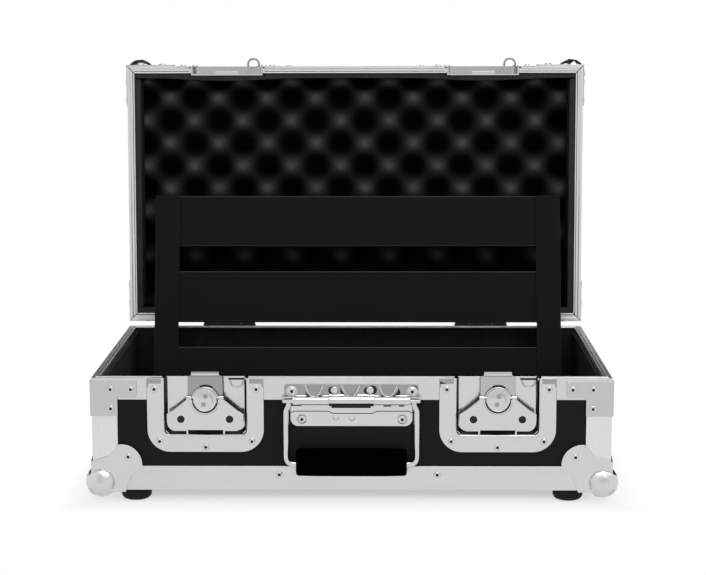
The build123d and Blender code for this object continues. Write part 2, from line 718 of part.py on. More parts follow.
GRIP_Y = HANDLE_Y - 1.5
GRIP_Z = 38.2
with BuildPart() as handle_grip:
    with BuildSketch(Plane.YZ.offset(-GRIP_HALF)):
        with Locations((GRIP_Y, GRIP_Z)):
            RectangleRounded(11, 24, 5)
        with Locations((HANDLE_Y, BAIL_Z)):
            Circle(ROD_RADIUS + ROD_FIT, mode=Mode.SUBTRACT)
    extrude(amount=2 * GRIP_HALF)
save(handle_grip, "handle_grip")


# ---- Pedalboard ---------------------------------------------------------------------------
BOARD_X = 3.45
BOARD_WIDTH = 406.4
BOARD_LENGTH = 241.1
BOARD_LEAN = 15.05       # degrees from upright
BOARD_Y = 26.9           # lower end of the front face
BOARD_Z = 24.0
BOARD_BACK = 112.0       # plane of its feet, upright
SIDE_SHEET = 3.0
FLANGE_WIDTH, FLANGE_SHEET = 24.0, 2.5
RAIL_WIDTH = 50.8
RAIL_SHEET = 2.0
RAIL_LEG = 10.0
REAR_BAR_TOP, REAR_BAR_WIDTH, REAR_BAR_LEG = 16.0, 12.5, 6.0
RAIL_TOPS = (BOARD_LENGTH, BOARD_LENGTH - 1.5 * RAIL_WIDTH, BOARD_LENGTH - 3 * RAIL_WIDTH)
INNER_HALF = BOARD_WIDTH / 2 - SIDE_SHEET
lean = radians(BOARD_LEAN)
board_face = Plane(
    origin=(BOARD_X, BOARD_Y, BOARD_Z), x_dir=(1, 0, 0), z_dir=(0, -cos(lean), sin(lean))
)
TOP_Y = BOARD_Y + BOARD_LENGTH * sin(lean)
BOARD_TOP = BOARD_Z + BOARD_LENGTH * cos(lean)


def board_side(side):
    """A wedge-shaped side plate with a wide flange along the face and a narrow one at the feet."""
    with BuildPart() as plate:
        outer = BOARD_X + side * BOARD_WIDTH / 2
        with BuildSketch(Plane.YZ.offset(outer)):
            with BuildLine():
                Polyline(
                    (BOARD_Y, BOARD_Z),
                    (TOP_Y, BOARD_TOP),
                    (BOARD_BACK, BOARD_TOP - 3),
                    (BOARD_BACK, BOARD_Z),
                    close=True,
                )
            make_face()
        extrude(amount=-side * SIDE_SHEET)
        flange_x = side * (BOARD_WIDTH - FLANGE_WIDTH) / 2
        with Locations(board_face.location * Location((flange_x, BOARD_LENGTH / 2 + 0.6, -FLANGE_SHEET / 2))):
            Box(FLANGE_WIDTH, BOARD_LENGTH - 1.2, FLANGE_SHEET)
        with Locations((outer - side * 7.5, BOARD_BACK - 1.25, (BOARD_TOP + BOARD_Z) / 2 - 1.5)):
            Box(15, 2.5, BOARD_TOP - BOARD_Z - 3)
    return plate


def board_rail(top, width, leg):
    """A channel rail across the board under the side flanges, its upper edge at the given height."""
    with BuildPart() as rail:
        with Locations(board_face.location * Location((0, top - width / 2, -FLANGE_SHEET))):
            Box(2 * INNER_HALF, width, RAIL_SHEET, align=(Align.CENTER, Align.CENTER, Align.MAX))
            for edge in (-1, 1):
                with Locations((0, edge * (width - RAIL_SHEET) / 2, 0)):
                    Box(2 * INNER_HALF, RAIL_SHEET, leg, align=(Align.CENTER, Align.CENTER, Align.MAX))
    return rail


save(board_side(-1), "board_side_left")
save(board_side(1), "board_side_right")
for name, top in zip(("top", "middle", "lower"), RAIL_TOPS):
    save(board_rail(top, RAIL_WIDTH, RAIL_LEG), f"board_rail_{name}")
save(board_rail(REAR_BAR_TOP, REAR_BAR_WIDTH, REAR_BAR_LEG), "board_rear_bar")

with BuildPart() as board_cross_bars:
    with Locations((BOARD_X, BOARD_BACK - 4, 62), (BOARD_X, BOARD_BACK - 4, 216)):
        Box(2 * INNER_HALF, 3, 25)
save(board_cross_bars, "board_cross_bars")

with BuildPart() as board_feet:
    for x in (BOARD_X - 195.5, BOARD_X + 195.5):
        for z in (44, 236):
            with Locations(facing(x, BOARD_BACK, z, BACK)):
                Box(14, 14, 7, align=(Align.CENTER, Align.CENTER, Align.MIN))
save(board_feet, "board_feet")
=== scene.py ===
# %% [markdown]
# # A pedal case with an open lid
# A plywood flight case with aluminium edges, two butterfly latches and a sprung handle. Its lid is
# lined with convoluted foam, and a slatted pedalboard stands in the base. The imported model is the
# frame: every piece below sits where the frame says, and rides on one of its bodies.

# %% Load the frame
import json
from math import cos, pi, radians, sin

import bmesh
import bpy
import numpy as np
from mathutils import Matrix, Vector

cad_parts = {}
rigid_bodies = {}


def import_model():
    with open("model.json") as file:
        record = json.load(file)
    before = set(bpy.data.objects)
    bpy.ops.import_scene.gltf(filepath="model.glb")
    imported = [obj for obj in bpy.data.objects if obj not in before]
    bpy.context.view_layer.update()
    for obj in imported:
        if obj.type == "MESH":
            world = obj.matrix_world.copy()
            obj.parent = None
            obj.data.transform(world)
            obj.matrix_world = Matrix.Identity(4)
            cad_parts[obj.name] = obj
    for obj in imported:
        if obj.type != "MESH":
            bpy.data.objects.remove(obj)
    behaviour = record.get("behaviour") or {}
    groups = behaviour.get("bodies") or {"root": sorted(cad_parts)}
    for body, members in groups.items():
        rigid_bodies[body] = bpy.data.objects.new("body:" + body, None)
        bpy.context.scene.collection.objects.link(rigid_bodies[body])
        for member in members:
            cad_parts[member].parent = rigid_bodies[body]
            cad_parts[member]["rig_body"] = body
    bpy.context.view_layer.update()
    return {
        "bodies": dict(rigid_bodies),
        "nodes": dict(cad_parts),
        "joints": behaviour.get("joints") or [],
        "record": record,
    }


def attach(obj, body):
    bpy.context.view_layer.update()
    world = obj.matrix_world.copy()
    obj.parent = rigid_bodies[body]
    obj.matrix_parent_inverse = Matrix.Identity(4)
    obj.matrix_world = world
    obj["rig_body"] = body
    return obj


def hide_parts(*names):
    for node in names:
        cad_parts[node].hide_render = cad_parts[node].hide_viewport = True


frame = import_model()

NODES = frame["nodes"]
BODY_OF = {n: o["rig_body"] for n, o in NODES.items()}
SLOT_OF = {s["node"]: s["material_slot"] for s in frame["record"]["subparts"]}

# %% [markdown]
# ## Two sets of coordinates
# Everything is measured on the shut case in millimetres, about the middle of the base, because that
# is how such a case is drawn. The open lid is the shut lid turned back 93 degrees about the hinge
# axis, and the whole case stands 39 mm forward of its drawing's origin, so that the open case is
# centred on the frame's origin.

# %% From case millimetres to the frame
HALF_W, HALF_D = 235.0, 132.0
BASE_Z, RIM_Z, LID_Z, TOP_Z = 12.0, 116.0, 116.4, 180.4
HINGE_Y, HINGE_Z = 136.75, 116.2
FORWARD = 39.0
LID_TURN = radians(-93)
LATCH_X, BOSS_Z = 132.0, RIM_Z - 20.0
SIDES = (("left", -LATCH_X), ("right", LATCH_X))


def in_base(points):
    """Frame metres of case millimetres: y minus 39, all times 0.001."""
    return (np.asarray(points, float) - (0, FORWARD, 0)) * 0.001


def in_lid(points):
    """Frame metres of shut-lid millimetres, turned by -93 degrees about the hinge axis first."""
    p = np.asarray(points, float)
    y, z = p[..., 1] - HINGE_Y, p[..., 2] - HINGE_Z
    turned = np.stack(
        [
            p[..., 0],
            HINGE_Y + y * cos(LID_TURN) - z * sin(LID_TURN),
            HINGE_Z + y * sin(LID_TURN) + z * cos(LID_TURN),
        ],
        -1,
    )
    return in_base(turned)


def from_base(points):
    """Case millimetres of frame metres, the reverse of in_base."""
    return np.asarray(points, float) * 1000 + (0, FORWARD, 0)


def from_lid(points):
    """Shut-lid millimetres of frame metres, the reverse of in_lid."""
    p = from_base(points)
    y, z = p[..., 1] - HINGE_Y, p[..., 2] - HINGE_Z
    c, d = cos(LID_TURN), sin(LID_TURN)
    return np.stack([p[..., 0], HINGE_Y + y * c + z * d, HINGE_Z - y * d + z * c], -1)


print("lid's front edge stands at", in_lid((0, -HALF_D, LID_Z)).round(4))

# %% [markdown]
# ## Camera
# The photograph was taken from 1.6 m in front of the case and 0.46 m above its floor, slightly to
# the right of the middle, with a long lens. These values fit the rims, the corners and the board.

# %% The camera
FOCAL = 1829.7
IMAGE_W, IMAGE_H = 706, 575
CENTRE_X, CENTRE_Y = 353.23, 288.15
YAW, PITCH, ROLL = 0.0135, -0.1588, 0.0018


def add_object(name, data):
    """A new object in the scene."""
    thing = bpy.data.objects.new(name, data)
    bpy.context.scene.collection.objects.link(thing)
    return thing


camera_data = bpy.data.cameras.new("camera")
camera = add_object("camera", camera_data)
look = Matrix.Rotation(YAW, 4, "Z") @ Matrix.Rotation(PITCH, 4, "X") @ Matrix.Rotation(ROLL, 4, "Y")
camera.matrix_world = (
    Matrix.Translation(in_base((23.6, -1745.0, 456.4)).tolist())
    @ look
    @ Matrix.Rotation(pi / 2, 4, "X")
)
camera_data.sensor_width = 36.0
camera_data.lens = 36.0 * FOCAL / IMAGE_W
camera_data.shift_x = (IMAGE_W / 2 - CENTRE_X) / IMAGE_W
camera_data.shift_y = (CENTRE_Y - IMAGE_H / 2) / IMAGE_W
bpy.context.scene.camera = camera
print("lens", round(camera_data.lens, 2), "mm")

# %% [markdown]
# ## A socket that reads like a number
# A material is arithmetic on noise and position. `Flow` wraps one output of a node, and Python's
# operators add the Math node that each stands for, so that a material below reads as a formula.

# %% Flow: node arithmetic


class Flow:
    """One output socket. The operators + - * / ** < > and abs each add a Math node."""

    def __init__(self, tree, socket):
        self.tree, self.socket = tree, socket

    def node(self, kind, inputs=None, out=0, **settings):
        """Any other node: its type, its inputs by name or number, and its settings."""
        return add_node(self.tree, kind, inputs, out, **settings)

    def math(self, operation, a, b=0.0):
        """Math node: operation(a, b)."""
        return self.node("ShaderNodeMath", {0: a, 1: b}, operation=operation)

    def __abs__(self):
        return self.math("ABSOLUTE", self)


def operator(operation, reflected):
    """A method that adds one Math node, with its operands exchanged where reflected."""

    def method(self, other):
        a, b = (other, self) if reflected else (self, other)
        return self.math(operation, a, b)

    return method


OPERATORS = {
    "add": "ADD",
    "sub": "SUBTRACT",
    "mul": "MULTIPLY",
    "truediv": "DIVIDE",
    "pow": "POWER",
}
for word, operation in OPERATORS.items():
    setattr(Flow, f"__{word}__", operator(operation, False))
    setattr(Flow, f"__r{word}__", operator(operation, True))
Flow.__gt__ = operator("GREATER_THAN", False)
Flow.__lt__ = operator("LESS_THAN", False)


def set_input(tree, socket, value):
    """Link a Flow to a socket, or set the socket's own value."""
    if isinstance(value, Flow):
        tree.links.new(value.socket, socket)
    else:
        socket.default_value = value


def add_node(tree, kind, inputs=None, out=0, **settings):
    """Add a node of a kind with its settings and inputs, and give one of its outputs as a Flow."""
    node = tree.nodes.new(kind)
    for key, value in settings.items():
        setattr(node, key, value)
    for key, value in (inputs or {}).items():
        set_input(tree, node.inputs[key], value)
    return Flow(tree, node.outputs[out])


class Finish:
    """A Principled material: its position coordinates, its constants and its varying inputs."""

    def __init__(self, name, **constants):
        self.material = bpy.data.materials.new(name)
        self.material.use_nodes = True
        self.tree = self.material.node_tree
        self.shader = self.tree.nodes["Principled BSDF"]
        for key, value in constants.items():
            self.shader.inputs[key.replace("_", " ")].default_value = value

    def position(self, lid=False):
        """Object coordinates in metres; for the lid they are turned back onto the shut case."""
        place = add_node(self.tree, "ShaderNodeTexCoord", out="Object")
        if lid:
            turn = Matrix.Rotation(-LID_TURN, 3, "X")
            hinge = Vector(in_base((0, HINGE_Y, HINGE_Z)).tolist())
            shift = {"Location": hinge - turn @ hinge, "Rotation": (-LID_TURN, 0, 0)}
            place = place.node("ShaderNodeMapping", {0: place, **shift})
        return place

    def axis(self, place, number):
        """One coordinate of a position."""
        return add_node(self.tree, "ShaderNodeSeparateXYZ", {0: place}, out=number)

    def cells(self, place, scale, **settings):
        """Distance to the nearest Voronoi point, with its scale in cells per metre."""
        inputs = {"Vector": place, "Scale": scale}
        return add_node(self.tree, "ShaderNodeTexVoronoi", inputs, **settings)

    def noise(self, place, scale, detail=2.0, rough=0.5):
        """Noise from 0 to 1 at a position, with its scale in cells per metre."""
        inputs = {"Vector": place, "Scale": scale, "Detail": detail, "Roughness": rough}
        return add_node(self.tree, "ShaderNodeTexNoise", inputs)

    def ramp(self, value, start, end, low=0.0, high=1.0):
        """From low to high while a coordinate goes from start to end, in millimetres."""
        inputs = {0: value, 1: start * 0.001, 2: end * 0.001, 3: low, 4: high}
        return add_node(self.tree, "ShaderNodeMapRange", inputs)

    def stretched(self, place, factors):
        """A position with each axis times its own factor."""
        inputs = {0: place, 1: factors}
        return add_node(self.tree, "ShaderNodeVectorMath", inputs, operation="MULTIPLY")

    def vary(self, key, value):
        """Feed a varying input of the shader."""
        set_input(self.tree, self.shader.inputs[key], value)

    def tint(self, share, low, high):
        """Base Color between two colours by a share from 0 to 1."""
        inputs = {0: share, 6: (*low, 1), 7: (*high, 1)}
        colour = add_node(self.tree, "ShaderNodeMix", inputs, out=2, data_type="RGBA")
        self.vary("Base Color", colour)

    def bump(self, height, metres, strength=1.0):
        """Normal from a height of 0 to 1 that stands for so many metres."""
        inputs = {"Strength": strength, "Distance": metres, "Height": height}
        self.vary("Normal", add_node(self.tree, "ShaderNodeBump", inputs))


print("Flow's operators:", ", ".join(OPERATORS))

# %% [markdown]
# ## Laminate
# The panels are birch ply with a black laminate whose press plate leaves shallow pebbles about a
# millimetre wide. Cells of a Voronoi texture with soft edges give them, and slow noise varies the
# sheen where hands have rubbed.

# %% Laminate


def grey(value, blue=1.0):
    """A grey colour, a little bluer where blue is over 1."""
    return (value, value, value * blue)


def laminate_finish():
    """Height is one minus the distance in 1.2 mm cells; roughness is 0.44 plus noise and distance."""
    f = Finish("laminate", Specular_IOR_Level=0.10)
    place = f.position()
    cells = f.cells(place, 850.0, feature="SMOOTH_F1")
    slow = f.noise(place, 9.0, 3.0)
    fine = f.noise(place, 420.0, 2.0)
    f.tint(slow * 0.6 + fine * 0.4, grey(0.0032, 1.06), grey(0.0095, 1.04))
    f.vary("Roughness", 0.44 + slow * 0.16 + cells * 0.08)
    f.bump(1.0 - cells, 0.00010, 0.7)
    return f.material


LAMINATE = laminate_finish()

# %% [markdown]
# ## Drawn aluminium
# The edge profiles are drawn through a die, which leaves faint lines along their length. At a
# corner two bars meet in a mitre, so the lines turn there. A point belongs to a side bar where it
# is nearer to a side face than to the front or back face. Lines are noise stretched along the bar.

# %% Aluminium


def drawn_lines(f, place, along):
    """Noise with a 60 mm grain along one axis and a 0.8 mm grain across it."""
    factors = [1250.0, 1250.0, 1250.0]
    factors["xyz".index(along)] = 14.0
    return f.noise(f.stretched(place, factors), 1.0, 3.0, 0.6)


def aluminium_finish(name, lid, upright=False):
    """Lines follow x or y by the mitre, or z on an upright edge; they vary tint, sheen and height."""
    f = Finish(name, Metallic=1.0, Anisotropic=0.25)
    place = f.position(lid)
    if upright:
        lines = drawn_lines(f, place, "z")
    else:
        x, y = f.axis(place, 0), f.axis(place, 1)
        side = (HALF_W * 0.001 - abs(x)) < (HALF_D * 0.001 - abs(y + FORWARD * 0.001))
        lengthwise, crosswise = drawn_lines(f, place, "x"), drawn_lines(f, place, "y")
        lines = lengthwise + side * (crosswise - lengthwise)
    smudge = f.noise(place, 22.0, 4.0)
    # Painted shade: the base's bars take a darker tone than the lid's bars and the uprights, though
    # all are the same aluminium.
    low, high = (0.62, 0.86) if lid or upright else (0.55, 0.76)
    f.tint(lines * 0.7 + smudge * 0.3, grey(low, 1.005), grey(high, 1.004))
    f.vary("Roughness", 0.24 + lines * 0.14 + smudge * 0.10)
    f.bump(lines, 0.000016, 0.6)
    return f.material


ALUMINIUM = aluminium_finish("aluminium_base", False)
ALUMINIUM_UPRIGHT = aluminium_finish("aluminium_base_upright", False, True)
ALUMINIUM_LID = aluminium_finish("aluminium_lid", True)
ALUMINIUM_LID_UPRIGHT = aluminium_finish("aluminium_lid_upright", True, True)

# %% [markdown]
# ## Plated steel
# Latches, corners, dishes and the handle are pressed steel with bright zinc-nickel plating. The
# press leaves the sheet slightly wavy over a few centimetres, which bends the reflections, and
# handling leaves soft smudges.

# %% Plated steel


def steel_finish(name, tone=0.64, base_roughness=0.10):
    """Height is 12 mm waves with a little fine grain; roughness is smudged by slow noise."""
    f = Finish(name, Metallic=1.0)
    place = f.position()
    waves = f.noise(place, 75.0, 2.0)
    smudge = f.noise(place, 46.0, 5.0, 0.62)
    grain = f.noise(place, 1900.0, 2.0)
    f.tint(smudge, grey(tone * 0.90, 1.01), grey(tone * 1.05, 1.01))
    f.vary("Roughness", base_roughness + (smudge ** 2.0) * 0.26 + grain * 0.03)
    f.bump(waves + grain * 0.012, 0.00016, 0.75)
    return f.material


STEEL = steel_finish("plated_steel")
STEEL_CAP = steel_finish("plated_steel_caps", 0.56, 0.16)
# Painted shade: the base's balls take a darker copy of the plating than the lid's, which dims their
# highlight.
STEEL_BALL = steel_finish("plated_steel_balls", 0.52, 0.15)
# Painted shade: a half-dark copy of the plating for the right hook and inside the keeper dishes.
STEEL_HALF_SHADE = steel_finish("plated_steel_soft", 0.50, 0.20)
# Painted shade: a darker copy of the plating for the left hook, the handle's plate and tongues, the
# padlock loops and small pressed marks.
STEEL_SHADED = steel_finish("plated_steel_shaded", 0.36, 0.22)
# Painted shade: near-black steel for bores, gaps, holes, slots, creases and faces that see little
# light.
STEEL_PAINTED_SHADE = steel_finish("plated_steel_in_holes", 0.035, 0.45)

# %% [markdown]
# ## Rubber, grip, foam and powder coat
# The feet are moulded rubber with a dull, slightly mottled skin. The grip is smoother and almost
# jet black. Foam is open cells: dark, without sheen, with a fine random relief whose pits are
# painted darker as shade. The board's powder coat has a fine orange-peel skin.

# %% Dark finishes


def moulded_finish(name, shine, scale, low, high, rough, metres):
    """Rubber or vinyl: one noise varies colour, height and roughness, which is a base and a share."""
    f = Finish(name, Specular_IOR_Level=shine)
    grain = f.noise(f.position(), scale, 3.0)
    f.tint(grain, grey(low), grey(high))
    f.vary("Roughness", rough[0] + grain * rough[1])
    f.bump(grain, metres, 0.5)
    return f.material


CELLS = 1300.0


def foam_finish(name, dark, light):
    """Open cells of 0.7 mm: their distance gives both the relief and the painted shade in the pits.
    """
    f = Finish(name, Specular_IOR_Level=0.02)
    place = f.position()
    cells = f.cells(place, CELLS)
    cloud = f.noise(place, 60.0, 4.0)
    f.tint(cells * 0.75 + cloud * 0.4, grey(light), grey(dark))
    f.vary("Roughness", 0.88 + cloud * 0.1)
    f.bump(1.0 - cells, 0.00030, 0.6)
    return f.material


def convoluted_finish(valley, peak):
    """Painted shade: colour follows height to the power 2.4, fades from 1.12 to 0.15 towards the
    hinge and darkens in the cells' pits.
    """
    f = Finish("foam_convoluted", Specular_IOR_Level=0.02)
    place = f.position(lid=True)
    shade = f.ramp(f.axis(place, 1), -45.0, 50.0, 1.12, 0.15)
    rise = f.ramp(f.axis(place, 2), valley, peak)
    cells = f.cells(place, CELLS)
    cloud = f.noise(place, 60.0, 4.0)
    share = (rise ** 2.4) * (0.70 + cloud * 0.45 - cells * 0.25) * shade
    f.tint(share, grey(0.0006), grey(0.070, 1.014))
    f.vary("Roughness", 0.88 + cloud * 0.1)
    f.bump(1.0 - cells, 0.00030, 0.6)
    return f.material


def powder_finish(name="powder_coat", sheen=0.07, share=1.0):
    """Powder coat: 0.8 mm orange peel, satin sheen; a share above 1 lightens it as a painted
    highlight.
    """
    f = Finish(name, Specular_IOR_Level=sheen)
    place = f.position()
    peel = f.noise(place, 900.0, 2.0)
    slow = f.noise(place, 12.0, 3.0)
    f.tint(slow, grey(0.0034 * share, 1.04), grey(0.0052 * share, 1.04))
    f.vary("Roughness", 0.40 + peel * 0.10 + slow * 0.06)
    f.bump(peel, 0.00005, 0.6)
    return f.material


RUBBER = moulded_finish("rubber", 0.15, 1600.0, 0.004, 0.010, (0.50, 0.2), 0.00005)
GRIP = moulded_finish("grip", 0.0, 900.0, 0.0002, 0.0005, (0.55, 0.15), 0.00006)
FOAM = convoluted_finish(168.5, 146.4)
LINING = foam_finish("foam_lining", 0.012, 0.060)
# Painted shade: a darker copy of the same foam for the base's back strip.
LINING_BACK = foam_finish("foam_lining_back", 0.004, 0.024)
POWDER = powder_finish()
# Painted highlight: a three times lighter, glossier copy for the board's bevels.
POWDER_HIGHLIGHT = powder_finish("powder_coat_edges", 0.30, 3.0)
print("materials:", len(bpy.data.materials))

# %% [markdown]
# ## Which finish goes where
# The record names a slot for every sub-part. Aluminium is told apart by lid and base and by the
# direction of the bar.

# %% Finishes of the frame's nodes
BY_SLOT = {
    "laminate": LAMINATE,
    "plated_steel": STEEL,
    "rubber": RUBBER,
    "foam": LINING,
    "grip": GRIP,
    "black_metal": POWDER,
}


def finish_of(node):
    """The material of a node, by its slot, its lid or base and its direction."""
    if SLOT_OF[node] != "aluminium":
        return BY_SLOT[SLOT_OF[node]]
    if "upright" in node:
        return ALUMINIUM_LID_UPRIGHT if node.startswith("lid") else ALUMINIUM_UPRIGHT
    return ALUMINIUM_LID if node.startswith("lid") else ALUMINIUM


for name, node in NODES.items():
    if not node.material_slots:
        node.data.materials.append(None)
    for slot in node.material_slots:
        slot.material = finish_of(name)

# %% [markdown]
# ## Soft edges on sheet and profiles
# A real edge is never sharp: it catches a thin highlight. A copy of a metal node is merged into one
# skin, its flat faces are joined, and a narrow bevel rounds every edge sharper than 28 degrees. On
# the black board the bevels also take a lighter powder coat as a painted highlight.

# %% Rounded copies of the metal nodes
EDGE_OF_WORD = {
    "rim_profiles": 0.35,
    "bottom_angles": 0.6,
    "top_angles": 0.6,
    "upright": 0.5,
    "rim_caps": 0.4,
    "ball_corners": 0.5,
    "dish": 0.6,
    "hook": 0.4,
    "wing": 0.4,
    "cam": 0.4,
    "hinge_leaf": 0.3,
    "backplate": 0.35,
    "hinge_cover": 0.3,
    "board_side": 1.1,
    "board_rail": 1.1,
    "rear_bar": 0.6,
    "cross_bars": 0.6,
}
SHARP = radians(28)


def one_skin(mesh):
    """Merge a mesh's loose triangles within 0.01 mm and join faces flatter than 1 degree."""
    work = bmesh.new()
    work.from_mesh(mesh)
    bmesh.ops.remove_doubles(work, verts=work.verts, dist=1e-5)
    bmesh.ops.dissolve_limit(work, angle_limit=radians(1), verts=work.verts, edges=work.edges)
    work.to_mesh(mesh)
    work.free()


def dress(piece, body, slot, *nodes):
    """A finished piece rides on its body and stands for the nodes named; its slot is not used."""
    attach(piece, body)
    if nodes:
        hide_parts(*nodes)


def rounded_copy(node, width):
    """Copy a node as one skin with smooth shading and a bevel of so many millimetres."""
    mesh = NODES[node].data.copy()
    one_skin(mesh)
    mesh.shade_smooth()
    mesh.set_sharp_from_angle(angle=SHARP)
    piece = add_object(node + "_rounded", mesh)
    bevel = piece.modifiers.new("edges", "BEVEL")
    bevel.width = width * 0.001
    bevel.segments = 2
    bevel.limit_method = "ANGLE"
    bevel.angle_limit = SHARP
    bevel.harden_normals = True
    mesh.materials.clear()
    mesh.materials.append(finish_of(node))
    # Painted highlight: the board's bevels take the lighter powder coat.
    if SLOT_OF[node] == "black_metal":
        mesh.materials.append(POWDER_HIGHLIGHT)
        bevel.material = 1
    dress(piece, BODY_OF[node], SLOT_OF[node], node)
    return piece


COPIES = {
    name: rounded_copy(name, width)
    for name in NODES
    for word, width in EDGE_OF_WORD.items()
    if word in name
}
print("rounded copies:", len(COPIES))

# %% [markdown]
# ## Shaded and reshaped faces
# Inside a dish, behind a plate and in a hinge the plating sees little light, so those faces take a
# darker steel as painted shade; so do the hooks, the left one more than the right, the cover's
# lower middle and the front faces of the handle's plate. Two pressings are also drawn closer to
# the real ones here: the wing's lower corners and the front edge of the dish's opening.

# %% Darker steel and closer shapes


def retone(piece, material, rule, back=from_base):
    """Another material where rule(centres in case millimetres, normals) holds for a copy's faces."""
    mesh = piece.data
    count = len(mesh.polygons)
    centre, normal, slots = np.empty(count * 3), np.empty(count * 3), np.empty(count, np.int32)
    mesh.polygons.foreach_get("center", centre)
    mesh.polygons.foreach_get("normal", normal)
    mesh.polygons.foreach_get("material_index", slots)
    mesh.materials.append(material)
    slots[rule(back(centre.reshape(-1, 3)), normal.reshape(-1, 3))] = len(mesh.materials) - 1
    mesh.polygons.foreach_set("material_index", slots)


def squared_wing(p, x):
    """Corners drawn out to a superellipse of power 3.2 and the lower edge raised by up to 2.1 mm."""
    corner_u, corner_w, power, straight, lowest = 19.6, -15.3, 3.2, -20.9, -28.2
    u, w = p[:, 0] - x, p[:, 2] - BOSS_Z
    du, dw = abs(u) - corner_u, corner_w - w
    rho = np.hypot(du, dw)
    corner = (du > 0) & (dw > 0)
    safe = np.where(rho > 0, rho, 1)
    squared = (abs(du / safe) ** power + abs(dw / safe) ** power) ** (-1 / power)
    scale = np.where(corner, 1 + (squared - 1) * np.clip(rho / 15, 0, 1) ** 4, 1)
    new_u = np.sign(u) * np.where(corner, corner_u + du * scale, abs(u))
    new_w = np.where(corner, corner_w - dw * scale, w)
    new_w = np.where(new_w < straight, straight + (new_w - straight) * 0.85, new_w)
    return np.stack([x + new_u, p[:, 1], BOSS_Z + np.maximum(new_w, lowest)], -1)


def widened_dish(p, x):
    """The opening's front outline: half 35.5 to 37.2, depth 50.5 to 52.3, radius 7.5 to 4.5."""
    old_u, old_d, new_u, new_d, radius = 28.0, 43.0, 32.7, 47.8, 4.5
    u, d = abs(p[:, 0] - x), RIM_Z - p[:, 2]
    a = np.arctan2(np.maximum(d - old_d, 0), np.maximum(u - old_u, 0))
    beside = np.where(d > old_d, new_u + radius * np.cos(a), new_u + radius)
    below = np.where(u > old_u, new_d + radius * np.sin(a), new_d + radius)
    out = np.where(u > old_u, beside, u * new_u / old_u)
    down = np.where(d > old_d, below, np.where(d > 1.0, d * new_d / old_d, d))
    moved = np.stack([x + np.sign(p[:, 0] - x) * out, p[:, 1], RIM_Z - down], -1)
    front = (p[:, 1] < -131.8) & (u < 35.7) & (d < 50.7)
    return np.where(front[:, None], moved, p)


def reshape(piece, change, x):
    """Apply a change in case millimetres to a copy's vertices."""
    points = np.empty(len(piece.data.vertices) * 3)
    piece.data.vertices.foreach_get("co", points)
    case = from_base(points.reshape(-1, 3))
    piece.data.vertices.foreach_set("co", in_base(change(case, x)).ravel())


def within(c, x, half):
    """Faces behind the front of a dish and nearer than half to its middle."""
    return (abs(c[:, 0] - x) < half) & (c[:, 1] > -131.9)


for name, copy in COPIES.items():
    if "rim_caps" in name:
        retone(copy, STEEL_CAP, lambda c, n: slice(None))
    if "hinge_leaf" in name:
        retone(copy, STEEL_PAINTED_SHADE, lambda c, n: n[:, 1] < -0.3)
for side, x in SIDES:
    # Painted shade: the left hook is darker than the right, and the dishes and keepers are darker
    # inside.
    hook_steel = STEEL_SHADED if side == "left" else STEEL_HALF_SHADE
    retone(COPIES["latch_hook_" + side], hook_steel, lambda c, n: slice(None))
    dish, keeper = COPIES["latch_dish_" + side], COPIES["keeper_dish_" + side]
    retone(dish, STEEL_PAINTED_SHADE, lambda c, n: within(c, x, 36.8) & (abs(n[:, 1]) < 0.5))
    retone(keeper, STEEL_HALF_SHADE, lambda c, n: within(c, x, 36.5) & (c[:, 2] > LID_Z + 0.3), from_lid)
    reshape(dish, widened_dish, x)
    reshape(COPIES["latch_wing_" + side], squared_wing, x)
cover, plate = COPIES["handle_hinge_cover"], COPIES["handle_backplate"]
retone(cover, ALUMINIUM, lambda c, n: c[:, 2] > 98.0)
# Painted shade: the cover's lower middle and the front of the handle's plate take darker steel.
retone(cover, STEEL_PAINTED_SHADE, lambda c, n: (abs(c[:, 0]) < 20.5) & (c[:, 2] < 95.3))
retone(plate, STEEL_SHADED, lambda c, n: (c[:, 1] < -133.1) & (n[:, 1] < -0.5))
print("darker faces on", sum(len(piece.data.materials) > 1 for piece in COPIES.values()), "copies")

# %% [markdown]
# ## Surfaces from formulas
# New pieces are parametric surfaces: an array of points over two parameters, made with whole-array
# numpy, with a quad between each four neighbours. Several patches can make up one mesh.

# %% Patches to a mesh


def quads(count, rows, columns, wrap_rows, wrap_columns):
    """Quad corner numbers of count grids, each rows by columns, closed round where asked."""
    grid = np.arange(rows * columns).reshape(rows, columns)
    if wrap_rows:
        grid = np.vstack([grid, grid[:1]])
    if wrap_columns:
        grid = np.hstack([grid, grid[:, :1]])
    corners = [grid[:-1, :-1], grid[1:, :-1], grid[1:, 1:], grid[:-1, 1:]]
    faces = np.stack(corners, -1).reshape(-1, 4)
    return (faces + np.arange(count)[:, None, None] * rows * columns).reshape(-1, 4)


def sheets(shapes, number=0, frame=in_base):
    """Patches of open grids, with the number of their material."""
    return [(frame(shape), False, False, number) for shape in shapes]


def tubes(shapes, number=0, frame=in_base):
    """Patches whose columns close round."""
    return [(frame(shape), False, True, number) for shape in shapes]


def turned(shapes, number=0, frame=in_base):
    """Patches whose rows close round."""
    return [(frame(shape), True, False, number) for shape in shapes]


